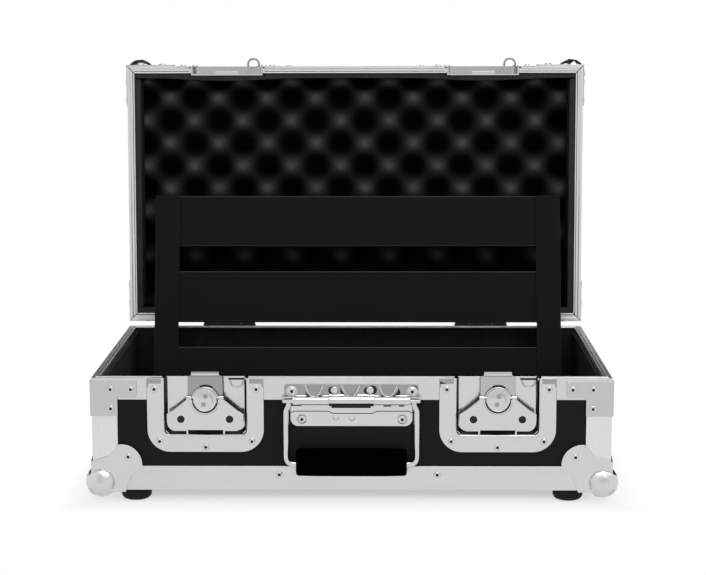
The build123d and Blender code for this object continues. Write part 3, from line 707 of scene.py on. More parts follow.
def surface(name, patches, materials, crease=40.0):
    """One object from patches of (points, wrap_rows, wrap_columns, material number)."""
    verts, faces, slots, start = [], [], [], 0
    for points, wrap_rows, wrap_columns, number in patches:
        p = np.asarray(points, float)
        p = p.reshape((-1,) + p.shape[-3:])
        f = quads(*p.shape[:3], wrap_rows, wrap_columns) + start
        verts.append(p.reshape(-1, 3))
        faces.append(f)
        slots.append(np.full(len(f), number))
        start += p[..., 0].size
    verts, faces, slots = np.vstack(verts), np.vstack(faces), np.concatenate(slots)
    mesh = bpy.data.meshes.new(name)
    mesh.vertices.add(len(verts))
    mesh.vertices.foreach_set("co", verts.ravel())
    mesh.loops.add(faces.size)
    mesh.loops.foreach_set("vertex_index", faces.ravel())
    mesh.polygons.add(len(faces))
    mesh.polygons.foreach_set("loop_start", np.arange(len(faces)) * 4)
    mesh.polygons.foreach_set("material_index", slots)
    for material in materials:
        mesh.materials.append(material)
    mesh.update(calc_edges=True)
    work = bmesh.new()
    work.from_mesh(mesh)
    bmesh.ops.remove_doubles(work, verts=work.verts, dist=2e-6)
    bmesh.ops.recalc_face_normals(work, faces=work.faces)
    work.to_mesh(mesh)
    work.free()
    mesh.shade_smooth()
    mesh.set_sharp_from_angle(angle=radians(crease))
    piece = add_object(name, mesh)
    print(f"{name}: {len(mesh.vertices)} points, {len(mesh.polygons)} faces")
    return piece


# %% [markdown]
# ## Turned and placed shapes
# A rivet, a screw or a boss is a profile turned round an axis. Each is made once about its own z
# axis and then copied to its places, each place a point and an outward normal.

# %% Lathe and placing


def lathe(profile, segments=24):
    """Turn (radius, height) pairs about z: x = r cos t, y = r sin t."""
    r, h = np.array(profile, float).T
    t = np.linspace(0, 2 * pi, segments, endpoint=False)[:, None]
    return np.stack([r * np.cos(t), r * np.sin(t), np.broadcast_to(h, (segments, len(h)))], -1)


def place_at(shape, spots):
    """Copies of a shape at (point, normal) pairs: p + x u + y v + z n."""
    point = np.array([s[0] for s in spots], float)[:, None, None]
    n = np.array([s[1] for s in spots], float)
    n /= np.linalg.norm(n, axis=1, keepdims=True)
    helper = np.where(np.abs(n[:, :1]) > 0.9, [[0.0, 1, 0]], [[1.0, 0, 0]])
    v = np.cross(n, helper)
    u = np.cross(v, n)
    u, v, n = (a[:, None, None] for a in (u, v, n))
    return point + shape[None, ..., :1] * u + shape[None, ..., 1:2] * v + shape[None, ..., 2:] * n


# %% [markdown]
# ## Rivets
# Tubular rivets hold every fitting. Each has a domed rim about 6 mm across round a bore with the
# end of its broken stem inside; the bore is near-black as painted shade.

# %% Rivet places
CORNER_SIGNS = [(-1, -1), (1, -1), (1, 1), (-1, 1)]


def corner_spots(inward, z, proud):
    """A place on both faces beside each upright edge, so far inward at height z."""
    spots = []
    for sx, sy in CORNER_SIGNS:
        spots.append(((sx * (HALF_W - inward), sy * (HALF_D + proud), z), (0, sy, 0)))
        spots.append(((sx * (HALF_W + proud), sy * (HALF_D - inward), z), (sx, 0, 0)))
    return spots


def front_spots(pairs, y):
    """Places on the front at (x, z) pairs."""
    return [((x, y, z), (0, -1, 0)) for x, z in pairs]


def leaf_spots(up):
    """Four rivets on each hinge leaf, above or below the hinge axis."""
    places = [(s * 131 + d, up * drop) for s in (-1, 1) for d in (-19, 19) for drop in (13, 24)]
    return [((x, HALF_D + 1.5, HINGE_Z + z), (0, 1, 0)) for x, z in places]


def side_spots(z):
    """One rivet in the middle of each side."""
    return [((s * HALF_W, 0, z), (s, 0, 0)) for s in (-1, 1)]


base_spots = corner_spots(32.4, BASE_Z + 31.3, 1.5)
for inward, drop in ((17.5, 10.4), (35.8, 10.4), (17.5, 28.1)):
    base_spots += corner_spots(inward, RIM_Z - drop, 1.2)
lid_spots = corner_spots(32.4, TOP_Z - 31.3, 1.5)
for inward in (17.5, 35.8):
    lid_spots += corner_spots(inward, LID_Z + 10.4, 1.2)
for side, x in SIDES:
    drops = ((-46, 10.4), (46, 10.4), (-41.9, 58.5), (41.9, 58.5), (0, 63.9))
    base_spots += front_spots([(x + d, RIM_Z - drop) for d, drop in drops], -HALF_D)
    rises = ((-46, 10.4), (46, 10.4), (-36, 33.5), (36, 33.5))
    lid_spots += front_spots([(x + d, LID_Z + rise) for d, rise in rises], -HALF_D)
base_spots += front_spots([(-65.6, 26.5), (77.6, 26.5)], -HALF_D)
base_spots += [((x, HALF_D, 26.5), (0, 1, 0)) for x in (-70, 70)]
base_spots += side_spots(26.5) + leaf_spots(-1)
lid_spots += front_spots([(-70, TOP_Z - 14.5), (70, TOP_Z - 14.5)], -HALF_D)
lid_spots += side_spots(TOP_Z - 14.5) + leaf_spots(1)
lid_spots += [
    ((sx * (HALF_W - 32), sy * (HALF_D - 32), TOP_Z + 1.5), (0, 0, 1)) for sx, sy in CORNER_SIGNS
]
print("rivets:", len(base_spots), "on the base,", len(lid_spots), "on the lid")

# %% [markdown]
# ## One rivet, many places
# The dome and the bore are turned once each and copied to all places of a body as one piece.

# %% Rivet meshes
RISE = [(3.2, -0.1), (3.15, 0.3), (2.95, 0.75), (2.6, 1.1), (2.15, 1.28)]
RIVET = lathe(RISE + [(1.7, 1.25), (1.4, 1.0), (1.3, 0.1)])
BORE = lathe([(1.3, 0.4), (0.8, 0.3), (0.6, 0.45), (0.3, 0.5), (0.0, 0.5)])


def rivets(name, spots, to_frame, body):
    """All rivets of one body as one piece: bright domes and bores darkened as painted shade."""
    heads = turned([place_at(RIVET, spots)], 0, to_frame)
    bores = turned([place_at(BORE, spots)], 1, to_frame)
    dress(surface(name, heads + bores, [STEEL, STEEL_PAINTED_SHADE]), body, "plated_steel")


rivets("base_rivet_heads", base_spots, in_base, "base")
rivets("lid_rivet_heads", lid_spots, in_lid, "lid")

# %% [markdown]
# ## Convoluted foam
# The lid's foam is cut by a profiled roller, which leaves rounded peaks on a staggered lattice, 51
# mm apart along the case and 48 mm across it. The height is half of one plus the product of two
# cosines, to the power 1.15.

# %% The lid's foam
PEAK_X, PEAK_Y = 51.2, 48.2
PEAK_AT = (9.8, -99.1)
FOAM_BACK, FOAM_VALLEY, FOAM_PEAK = 173.9, 168.5, 146.4


def foam_depth(x, y):
    """Depth towards the opening: a staggered cosine product whose first row crowds in by 7.3 mm."""
    crowded = y - 7.3 * np.clip((-103.0 - y) / 13.0, 0, 1) ** 1.5
    across = np.cos(2 * pi * (x - PEAK_AT[0]) / PEAK_X)
    share = 0.5 + 0.5 * across * np.cos(2 * pi * (crowded - PEAK_AT[1]) / PEAK_Y)
    return FOAM_VALLEY + (FOAM_PEAK - FOAM_VALLEY) * share**1.15


def convoluted_sheet(half_x, half_y, steps_x, steps_y):
    """Front face over the sheet, then its side walls down to the back face."""
    x = np.linspace(-half_x, half_x, steps_x)[:, None] + np.zeros(steps_y)
    y = np.linspace(-half_y, half_y, steps_y) + np.zeros((steps_x, 1))
    front = np.stack([x, y, foam_depth(x, y)], -1)
    rim = np.concatenate([front[:, 0], front[-1, 1:], front[-2::-1, -1], front[0, -2:0:-1]])
    back = rim.copy()
    back[:, 2] = FOAM_BACK
    middle = np.broadcast_to([0, 0, FOAM_BACK], back.shape)
    walls = np.stack([rim, back, middle], 1)
    return front, walls


front, walls = convoluted_sheet(228.0, 125.0, 300, 168)
patches = sheets([front], 0, in_lid) + turned([walls], 0, in_lid)
foam = surface("lid_convoluted_foam", patches, [FOAM], crease=60.0)
dress(foam, "lid", "foam", "lid_egg_foam")

# %% [markdown]
# ## Foam strips and sheets
# Strips of flat foam line the walls. Each is a soft-edged bar: rings of a rounded rectangle, drawn
# in at both ends of its thickness, where a blade has cut it and the cells have slumped.

# %% Rings of rounded rectangles


def ring(half_u, half_v, radius, steps=6):
    """A rounded rectangle: quarter circles of a radius about its four corner centres."""
    a = np.linspace(0, pi / 2, steps)
    arc = np.stack([np.cos(a), np.sin(a)], -1) * radius
    quarters = []
    for su, sv, c, s in ((1, 1, 1, 0), (-1, 1, 0, 1), (-1, -1, -1, 0), (1, -1, 0, -1)):
        quarter = np.stack([arc[:, 0] * c - arc[:, 1] * s, arc[:, 0] * s + arc[:, 1] * c], -1)
        quarters.append(quarter + (su * (half_u - radius), sv * (half_v - radius)))
    return np.vstack(quarters)


def soft_bar(low, high, edge, axis=2, radius=1.5):
    """A bar between two corners whose edges are rounded over `edge`, closed at both ends."""
    low, high = np.array(low, float), np.array(high, float)
    size, middle = (high - low) / 2, (high + low) / 2
    u, v = [i for i in range(3) if i != axis]
    a = np.linspace(0, pi / 2, 4)
    inset = edge * (1 - np.sin(a))
    inset = np.concatenate([inset, inset[::-1]])
    start = edge * (1 - np.cos(a)) - size[axis]
    along = np.concatenate([start, -start[::-1]])
    rows = []
    for i, h in zip(inset, along):
        flat = ring(size[u] - i, size[v] - i, max(radius - i * 0.5, 0.3))
        rows.append(np.insert(flat, axis, h, 1))
    for end in (0, -1):
        cap = np.zeros_like(rows[0])
        cap[:, axis] = rows[end][0, axis]
        rows.insert(0 if end == 0 else len(rows), cap)
    return np.stack(rows) + middle


def padded_foam(name, patches, body, node, materials):
    """Patches of foam as one padded piece that stands for a node."""
    piece = surface(name, patches, materials, crease=60.0)
    dress(piece, body, "foam", node)


# %% [markdown]
# ## The linings
# Sheets of foam are glued inside the base's walls and floor, and thicker strips inside the lid's.
# At the front they stop at the latch pockets of the base and step round the dishes of the lid.

# %% The linings
EDGE_OUT, EDGE_IN, EDGE_LOW, EDGE_HIGH = 7.5, 13.5, 118.6, 145.9
LINE_OUT, LINE_IN, LINE_LOW, LINE_HIGH = 6.5, 10.5, 18.5, 112.0
POCKET_HALF = 39.0
POCKET_SIDES = [x + d for side, x in SIDES for d in (-POCKET_HALF, POCKET_HALF)]


def wall_strips(outer, inner, low, high):
    """Strips inside the four walls; the front ones stop at the latch pockets."""
    x_out, x_in, y_out, y_in = HALF_W - outer, HALF_W - inner, HALF_D - outer, HALF_D - inner
    bars = [((-x_out, y_in, low), (x_out, y_out, high))]
    for s in (-1, 1):
        a, b = sorted((s * x_out, s * x_in))
        bars.append(((a, -y_in, low), (b, y_in, high)))
    stops = [-x_out, *POCKET_SIDES, x_out]
    for a, b in zip(stops[0::2], stops[1::2]):
        bars.append(((a, -y_out, low), (b, -y_in, high)))
    return [soft_bar(a, b, 0.8) for a, b in bars]


def front_ribbon():
    """One ribbon along the lid's front wall that steps back round each dish and swells inward."""
    x = np.linspace(-HALF_W + EDGE_OUT + 0.2, HALF_W - EDGE_OUT - 0.2, 300)
    near = np.minimum(abs(x + LATCH_X), abs(x - LATCH_X))
    step = 1 / (1 + np.exp((near - POCKET_HALF) / 0.5))
    swell = np.cos(np.clip(near / 80.0, 0, 1) * pi / 2) ** 2
    outer = -HALF_D + EDGE_OUT + 0.1 + 2.45 * step
    inner = -HALF_D + EDGE_IN - 0.9 + 2.6 * swell
    middle, half = (outer + inner) / 2, (inner - outer) / 2
    a = np.linspace(0, pi, 9)
    low, high, edge = EDGE_LOW + 0.2, EDGE_HIGH - 0.2, 0.8
    v = np.concatenate([-np.cos(a), np.cos(a)])
    w = np.concatenate([low + edge - edge * np.sin(a), high - edge + edge * np.sin(a)])
    v = np.sign(v) * abs(v) ** 0.5
    y = middle[:, None] + half[:, None] * v
    rows = np.stack(np.broadcast_arrays(x[:, None], y, w), -1)
    caps = [np.broadcast_to(rows[i].mean(0), rows[i].shape)[None] for i in (0, -1)]
    return np.concatenate([caps[0], rows, caps[1]])


lid_bars = wall_strips(EDGE_OUT, EDGE_IN, EDGE_LOW, EDGE_HIGH)[:3] + [front_ribbon()]
padded_foam("lid_edge_strips", tubes(lid_bars, 0, in_lid), "lid", "lid_edge_foam", [LINING])
BACK_HIGH, BACK_OUT = 115.4, 7.6
back_bar = soft_bar(
    (7.7 - HALF_W, HALF_D - LINE_IN, LINE_LOW), (HALF_W - 7.7, HALF_D - BACK_OUT, BACK_HIGH), 0.8
)
# The back strip takes the darker foam as painted shade.
patches = tubes([back_bar], 1) + tubes(wall_strips(LINE_OUT, LINE_IN, LINE_LOW, LINE_HIGH)[1:])
padded_foam("base_wall_strips", patches, "base", "base_wall_lining", [LINING, LINING_BACK])
floor_bar = soft_bar((-228.0, -125.0, 18.5), (228.0, 125.0, 23.5), 0.8)
padded_foam("base_floor_sheet", tubes([floor_bar]), "base", "base_floor_foam", [LINING])

# %% [markdown]
# ## Tubes
# The handle's bail and the padlock loops are round steel bent in smooth curves. A circle is swept
# along a path: at each point it lies across the path's direction.

# %% Swept tubes


def smooth_path(points, bend, steps=8):
    """A path whose corners are parabolas from `bend` mm before to `bend` mm after each point."""
    pts = np.array(points, float)
    out = [pts[:1]]
    for before, here, after in zip(pts[:-2], pts[1:-1], pts[2:]):
        a = here + (before - here) / np.linalg.norm(before - here) * bend
        b = here + (after - here) / np.linalg.norm(after - here) * bend
        t = np.linspace(0, 1, steps)[:, None]
        out.append((1 - t) ** 2 * a + 2 * t * (1 - t) * here + t**2 * b)
    out.append(pts[-1:])
    return np.vstack(out)


def tube(path, radius, across, segments=16):
    """Circle along a flat path: across is the direction square to the path's plane."""
    path = np.array(path, float)
    along = np.gradient(path, axis=0)
    along /= np.linalg.norm(along, axis=1, keepdims=True)
    w = np.array(across, float)
    u = np.cross(along, w)
    u /= np.linalg.norm(u, axis=1, keepdims=True)
    t = np.linspace(0, 2 * pi, segments, endpoint=False)
    circle = np.cos(t)[None, :, None] * u[:, None] + np.sin(t)[None, :, None] * w
    body = path[:, None] + radius * circle
    ends = [np.repeat(path[i : i + 1, None], segments, 1) for i in (0, -1)]
    return np.concatenate([ends[0], body, ends[1]])


# %% [markdown]
# ## The handle
# A steel bail of 5.3 mm rod hangs from a rolled cover and carries a moulded grip. Its upper ends
# meet the thinner rod that turns in the cover, and its lower ends turn into the grip.

# %% Bail and grip
HANDLE_Y, HANDLE_Z, BAIL_HALF, BAIL_Z, ROD = -137.0, 96.0, 59.0, 37.5, 2.65
upper, lower = (
    [(-x, HANDLE_Y, z) for x, z in pairs]
    for pairs in (
        [(55.8, HANDLE_Z), (56.6, 91.5), (BAIL_HALF, 87), (BAIL_HALF, 70)],
        [(BAIL_HALF, 69), (BAIL_HALF, BAIL_Z), (40, BAIL_Z)],
    )
)
left_half = np.vstack([smooth_path(upper, 2.2), smooth_path(lower, 8.0)])
bail_path = np.vstack([left_half, left_half[::-1] * (-1, 1, 1)])
rod = np.full((len(bail_path), 1, 1), ROD)
rod[[0, -1]] = 1.8
stub_path = [(x, HANDLE_Y, HANDLE_Z) for x in (-62.2, -61.9, -61.2, -50.0)]
stub = tube(stub_path, np.array([1.2, 1.8, 2.15, 2.15]).reshape(-1, 1, 1), (0, 1, 0))
shapes = [tube(bail_path, rod, (0, 1, 0)), stub, stub * (-1, 1, 1)]
bail = surface("handle_bent_bail", tubes(shapes), [STEEL])
dress(bail, "handle", "plated_steel", "handle_bail")


def grip_shape():
    """Rings along x: their height falls by 5% with the sixth power of x, and the ends are rounded."""
    rows = []
    ends = [(50.0, 0.02), (50.0, 0.80), (49.5, 0.93), (48.6, 0.98), (47.0, 1.0)]
    stations = [(-x, s) for x, s in ends] + [(x, 1.0) for x in (-30, -10, 10, 30)] + ends[::-1]
    for x, s in stations:
        lower = 1 - 0.05 * (abs(x) / 50) ** 6
        flat = ring(5.5 * s, 12.9 * s * lower, 5.4 * s * lower)
        rows.append(np.insert(flat, 0, x, 1))
    return np.stack(rows) + (0, -138.5, 39.9)


grip = surface("handle_moulded_grip", tubes([grip_shape()]), [GRIP])
dress(grip, "handle", "grip", "handle_grip")

# %% [markdown]
# ## Padlock loops
# A ring of wire stands out of the front of each lid dish, so that a padlock can pass through it
# beside the latch.

# %% Padlock loops
LOOP_X, LOOP_OUT, LOOP_Z = 27.5, 5.6, 119.4


def loop_path(x):
    """Most of a circle of 5.6 mm whose centre stands 1.7 mm out of the face; its ends go in."""
    a = np.linspace(radians(-25), radians(205), 40)
    y = -HALF_D - 1.7 - LOOP_OUT * np.sin(a)
    return np.stack([x + LOOP_OUT * np.cos(a), y, 0 * a + LOOP_Z], -1)


wires = [tube(loop_path(x + LOOP_X), 1.05, (0, 0, 1), 12) for side, x in SIDES]
# Painted shade: the wire takes the darker grey steel.
loops = surface("lid_wire_loops", tubes(wires, 0, in_lid), [STEEL_SHADED])
dress(loops, "lid", "plated_steel", "lid_padlock_loops")

# %% [markdown]
# ## Feet
# Four bowl-shaped rubber feet with a recess for the screw that holds each to the base.

# %% Feet and their screws
OUTSIDE = [(0.0, 0.0), (13.6, 0.0), (14.0, -0.6), (14.0, -5.6), (13.7, -8.0), (12.9, -10.0)]
UNDERSIDE = [(11.6, -11.3), (10.2, -11.9), (9.4, -12.0), (4.2, -12.0)]
RECESS = [(3.6, -11.5), (3.5, -6.0), (0.0, -6.0)]
FOOT = lathe(OUTSIDE + UNDERSIDE + RECESS, 40)
SCREW = lathe([(3.3, -6.2), (3.3, -7.0), (2.6, -7.8), (1.4, -8.2), (0.9, -7.4), (0.0, -7.4)], 20)
foot_spots = [((sx * 198, sy * 113, BASE_Z), (0, 0, 1)) for sx, sy in CORNER_SIGNS]
patches = turned([place_at(FOOT, foot_spots)]) + turned([place_at(SCREW, foot_spots)], 1)
feet = surface("base_moulded_feet", patches, [RUBBER, STEEL])
dress(feet, "base", "rubber", "base_feet")

# %% [markdown]
# ## Smooth balls
# The pressed balls of the corners are round. Each is a sphere about the corner's diagonal whose
# hidden part is drawn in under the leaves, so that it stays out of the case.

# %% Balls of the corners
BALL_R, BALL_IN = 15.05, 7.0


def ball_shape(steps=30):
    """Sphere about (7, 7, 7); where a point is inside the corner its least coordinate becomes -1."""
    profile = [(BALL_R * sin(a), BALL_R * cos(a)) for a in np.linspace(0, radians(118), steps)]
    ball = place_at(lathe(profile, 48), [((BALL_IN,) * 3, (-1, -1, -1))])[0]
    least = ball.min(-1, keepdims=True)
    return np.where((ball == least) & (least > -1.0), -1.0, ball)


def at_four(shape, z, up):
    """Copies of a corner shape at the four corners, mirrored into each and standing at height z."""
    x, y, rise = np.moveaxis(shape, -1, 0)
    corners = [(sx * (HALF_W - x), sy * (HALF_D - y), z + up * rise) for sx, sy in CORNER_SIGNS]
    return np.moveaxis(corners, 1, -1)


def ball_beads():
    """The soft bead where the ball meets each leaf: three arcs of a 12.4 mm circle on the leaves."""
    a = np.radians(np.linspace(-28, 118, 40))
    u, v, w = BALL_IN + 12.4 * np.cos(a), BALL_IN + 12.4 * np.sin(a), -1.5 + 0 * a
    arcs = ((w, u, v), (u, w, v), (u, v, w))
    return [tube(np.stack(arc, -1), 0.55, axis, 10) for arc, axis in zip(arcs, np.eye(3))]


def smooth_corners(name, body, z, up, frame, material):
    """Four balls with their beads at one height, as one piece."""
    balls = turned([at_four(ball_shape(), z, up)], 0, frame)
    beads = tubes([at_four(bead, z, up) for bead in ball_beads()], 0, frame)
    dress(surface(name, balls + beads, [material]), body, "plated_steel")


# The base's balls take the darker plating as painted shade.
smooth_corners("base_smooth_balls", "base", BASE_Z, 1, in_base, STEEL_BALL)
smooth_corners("lid_smooth_balls", "lid", TOP_Z, -1, in_lid, STEEL)

# %% [markdown]
# ## Details of the latches
# The boss has a rolled edge and the ends of two rivets; a gap parts it from the wing, which
# has a pressed bead round the gap. The recess has a rolled bright lip and a drawn, sloping
# wall. The hook's plate is bent back at its top, and the recess floor has a slot over a half-round
# pressing. The gaps, the wing's holes, the wall, the slot and a strip under the hook's bend are
# near-black as painted shade; the rivet ends, a groove on the boss and the steps on the dish's
# flange are grey as painted shade.

# %% Latch details


def front_points(x, y, z):
    """Points of broadcast x, y and z arrays."""
    return np.stack(np.broadcast_arrays(x, y, z), -1).astype(float)


def dish_outline(half, depth, radius, steps=12):
    """A U from the rim down, along and up again, with quarter circles at its lower corners."""
    a = np.linspace(0, pi / 2, steps)
    left = np.stack([-half + radius - radius * np.cos(a), -depth + radius - radius * np.sin(a)], -1)
    top = [(-half, -0.2)]
    return np.vstack([top, left, left[::-1] * (-1, 1), [(half, -0.2)]])


def dish_rows(x, rows):
    """Rows of (half, depth, radius, y) outlines hanging from the base's rim."""
    outlines = [(dish_outline(*row[:3]).T, row[3]) for row in rows]
    return np.stack([front_points(x + u, y, RIM_Z + w) for (u, w), y in outlines])


def arc_tube(x, z, y, radius, wire, start, end, steps=40, segments=10):
    """A bead of round wire along an arc on a plane that faces forward."""
    a = np.radians(np.linspace(start, end, steps))
    path = front_points(x + radius * np.cos(a), y, z + radius * np.sin(a))
    return tube(path, wire, (0, 1, 0), segments)


def flat_arc(x, z, y, inner, outer, start, end):
    """A flat band between two circles that faces forward."""
    a = np.radians(np.linspace(start, end, 48))
    r = np.array([[inner], [outer]])
    return front_points(x + r * np.cos(a), y, z + r * np.sin(a))


def flat_box(x0, x1, z0, z1, y):
    """A flat rectangle that faces forward."""
    return front_points(np.array([[x0], [x1]]), y, np.array([[z0, z1]]))


def shoulder(x, side):
    """The bent upper edge of the wing from the knuckle to its outer corner."""
    out, drop = np.array([16.4, 20.0, 25.0, 29.6]), np.array([0.3, -2.6, -6.6, -10.2])
    return tube(front_points(x + side * out, -135.0, BOSS_Z + drop), 0.5, (0, 1, 0), 10)


def boss_patches(x):
    """Boss, its gaps as near-black painted shade, its rolled edge, and the rivet ends and a groove in
    grey painted shade on its face.
    """
    cap = place_at(BOSS_CAP, [((x, -131.2, BOSS_Z), (0, -1, 0))])
    places = ((x + 0.5, -136.35, BOSS_Z + 4.1), (x - 1.2, -136.35, BOSS_Z - 3.3))
    gaps = (
        (-136.38, 10.15, 11.0, 192, 348),
        (-133.1, 10.9, 12.3, 190, 350),
        (-132.6, 12.3, 13.3, 60, 112),
    )
    return (
        turned([cap])
        + sheets([flat_arc(x, BOSS_Z, *gap) for gap in gaps], 1)
        + tubes([arc_tube(x, BOSS_Z, -134.0, 11.5, 0.85, 14, 166)])
        + turned([place_at(MARK, [(place, (0, -1, 0)) for place in places])], 2)
        + tubes([arc_tube(x, BOSS_Z, -136.3, 6.9, 0.35, -15, 78)], 2)
    )


def wing_patches(x):
    """The wing's beads and its two holes, whose ends are near-black painted shade."""
    beads = [arc_tube(x, BOSS_Z, -134.95, 13.2, 0.55, 188, 352), shoulder(x, -1), shoulder(x, 1)]
    holes = [flat_arc(x + d, BOSS_Z - 17.4, -133.7, 0.01, 3.5, 0, 360) for d in (-22, 22)]
    return tubes(beads) + sheets(holes, 1)


def recess_patches(x):
    """Lip, wall, lugs, slot and steps of the dish; wall and slot are near-black and the steps grey,
    as painted shade.
    """
    lugs = [
        soft_bar((x + u - 0.9, -131.9, 63.4), (x + u + 0.9, -130.4, 67.7), 0.3, 2, 0.4)
        for u in (-16.6, 16.6)
    ]
    slot = flat_box(x + 20.5, x + 35.4, 112.7, 114.5, -123.75)
    steps = [
        flat_box(x + s * inner, x + s * 52.3, low, high, -132.06)
        for inner, low, high in ((38.9, 110.8, 115.4), (51.0, 107.6, 110.8))
        for s in (-1, 1)
    ]
    return (
        sheets([dish_rows(x, LIP)])
        + tubes(lugs + [arc_tube(x + 28.2, 112.2, -123.6, 6.6, 0.4, 180, 360)])
        + sheets([dish_rows(x, WALL), slot], 1)
        + sheets(steps, 2)
        + tubes([arc_tube(x + 28.2, 112.2, -123.6, 5.6, 0.3, 180, 360)], 2)
    )


def hook_patches(x):
    """The hook's plate bent back at its top, with a near-black strip under the bend as the groove's
    painted shade.
    """
    a = np.linspace(0, pi / 2, 8)[:, None]
    bend_z = np.vstack([[[118.0]], 119.2 + 2.25 * np.sin(a)])
    bend_y = np.vstack([[[-130.95]], -128.7 - 2.25 * np.cos(a)])
    bend = front_points(x + np.array([[-12.5, -12.2, 12.2, 12.5]]), bend_y, bend_z)
    return sheets([bend]) + sheets([flat_box(x - 12.6, x + 12.6, 117.5, 118.05, -130.9)], 1)


ROLLED = [(10.95, 0.4), (10.95, 3.5), (10.75, 4.3), (10.2, 4.95), (9.6, 5.15)]
BOSS_CAP = lathe(ROLLED + [(9.35, 4.95), (9.1, 5.12), (0.0, 5.18)], 56)
MARK = lathe([(2.2, 0.0), (2.1, 0.18), (1.2, 0.10), (0.0, 0.14)], 24)
LIP = [
    (39.8, 54.9, 7.1, -132.02),
    (39.2, 54.3, 6.5, -132.5),
    (38.4, 53.5, 5.7, -132.8),
    (37.6, 52.7, 4.9, -132.5),
    (37.1, 52.2, 4.4, -131.9),
]
WALL = [(37.1, 52.2, 4.4, -131.9), (36.5, 51.7, 4.3, -130.0), (34.9, 50.0, 4.0, -124.6)]
STEELS = [STEEL, STEEL_PAINTED_SHADE, STEEL_SHADED]
for side, x in SIDES:
    for name, patches, count, body in (
        ("latch_boss_", boss_patches(x), 3, "cam_" + side),
        ("latch_wing_bead_", wing_patches(x), 2, "wing_" + side),
        ("latch_recess_", recess_patches(x), 3, "base"),
        ("latch_hook_bend_", hook_patches(x), 2, "hook_" + side),
    ):
        dress(surface(name + side, patches, STEELS[:count]), body, "plated_steel")

# %% [markdown]
# ## Details of the handle
# Three tongues pressed out of the upper plate hold the springs, with open crescents round the
# rivets beside them. The cover is rolled over the rod, with a wider roll in the middle. The lower
# plate has a stepped crease, two round dimples and a screw at each end. The crescents, the slots,
# the crease's lower line and the screws' bores are near-black, and the tongues, the sheet behind
# the cover and the dimples' outlines grey, all as painted shade.

# %% Handle details
PLATE_Y, LOWER_Y = -133.2, -131.7


def tongue(x, steps=33):
    """A U of sheet that leans outward: low edge = top - 10.9 (1 - |s|^2.4), s across from -1 to 1."""
    s = np.linspace(-1, 1, steps)[None, :]
    t = np.linspace(0, 1, 8)[:, None]
    low = 110.3 - 10.9 * (1 - abs(s) ** 2.4)
    y = PLATE_Y - 0.1 - 1.3 * t**1.5 * (1 - s**4)
    return front_points(x + 8.2 * s, y, 110.3 + (low - 110.3) * t)


def crescent(x, z, radius, width, start, end, y=PLATE_Y - 0.06):
    """A flat crescent outside a circle; its width swells as a half sine."""
    a = np.radians(np.linspace(start, end, 24))
    outer = radius + width * np.sin(np.linspace(0, pi, 24))
    r = np.stack([radius + 0 * a, outer])
    return front_points(x + r * np.cos(a), y, z + r * np.sin(a))


def lower_sheet(steps=120):
    """The raised upper part of the lower plate; its edge steps down by 2.1 mm in the middle."""
    x = np.linspace(-54.6, 54.6, steps)[None, :]
    middle = 1 / (1 + np.exp((abs(x - 1) - 20) / 0.9))
    low = 85.7 - 2.1 * middle - 1.6 * np.clip((abs(x) - 50.5) / 4, 0, 1) ** 2
    rise = np.array([[0.0], [0.5], [0.9], [1.0], [1.0]])
    out = np.array([[0.75], [0.75], [0.7], [0.45], [0.0]])
    return front_points(x, LOWER_Y - out, 92.2 + (low - 92.2) * rise)


def cover_roll(half, radius, end, steps=60):
    """A sheet rolled over the rod from the plate to below, with a fine seam on its front."""
    degrees = [np.linspace(-35, 60, 12), [64, 67, 70], np.linspace(76, end, 10)]
    a = np.radians(np.concatenate(degrees))[:, None]
    dip = 0.45 * (abs(a - radians(67)) < 0.01)
    x = np.linspace(-half, half, steps)[None, :]
    ease = np.sqrt(np.clip(1 - (np.clip(abs(x) - half + 1.2, 0, 1.2) / 1.2) ** 2, 0, 1))
    r = radius - 0.8 + 0.8 * ease - dip
    top = front_points(x, PLATE_Y - 0.02, HANDLE_Z + r[:1] * cos(radians(35)) + 1.3)
    roll = front_points(x, HANDLE_Y - r * np.sin(a), HANDLE_Z + r * np.cos(a))
    return np.concatenate([top, roll])


TONGUES = (-33.6, -0.6, 33.1)
edges = [tube(tongue(x)[-1] - (0, 0.05, 0), 0.75, (0, 1, 0), 10) for x in TONGUES]
# Painted shade: a grey sheet behind the cover.
skin = flat_box(-58.5, 58.5, 96.5, 104.5, PLATE_Y - 0.03)
# Painted shade: a near-black line under the crease.
crease = tube(lower_sheet()[-1] - (0, 0.55, 0.1), 0.33, (0, 1, 0), 8)
# Painted shade: near-black crescents round the rivets and tongues.
crescents = [
    crescent(*numbers)
    for numbers in (
        (-15.3, 104.9, 3.7, 1.9, 105, 250),
        (-33.6, 107.0, 7.9, 2.0, 200, 280),
        (-0.6, 109.5, 9.3, 1.9, 195, 238),
        (16.8, 104.9, 3.7, 1.9, 120, 245),
        (16.8, 104.9, 3.7, 2.6, -70, 100),
        (33.1, 108.4, 9.4, 4.4, 272, 352),
        (54.8, 104.0, 5.1, 0.9, 5, 95),
    )
]
# Painted shade: near-black slots on the lower plate.
slots = [
    flat_box(x0, x1, z0, z1, LOWER_Y - 0.85)
    for x0, x1, z0, z1 in (
        (-18, 17.5, 88.6, 93.4),
        (-58.0, -45.0, 90.3, 92.4),
        (29, 36, 89.9, 92.4),
        (43, 47.5, 89.9, 92.4),
    )
]
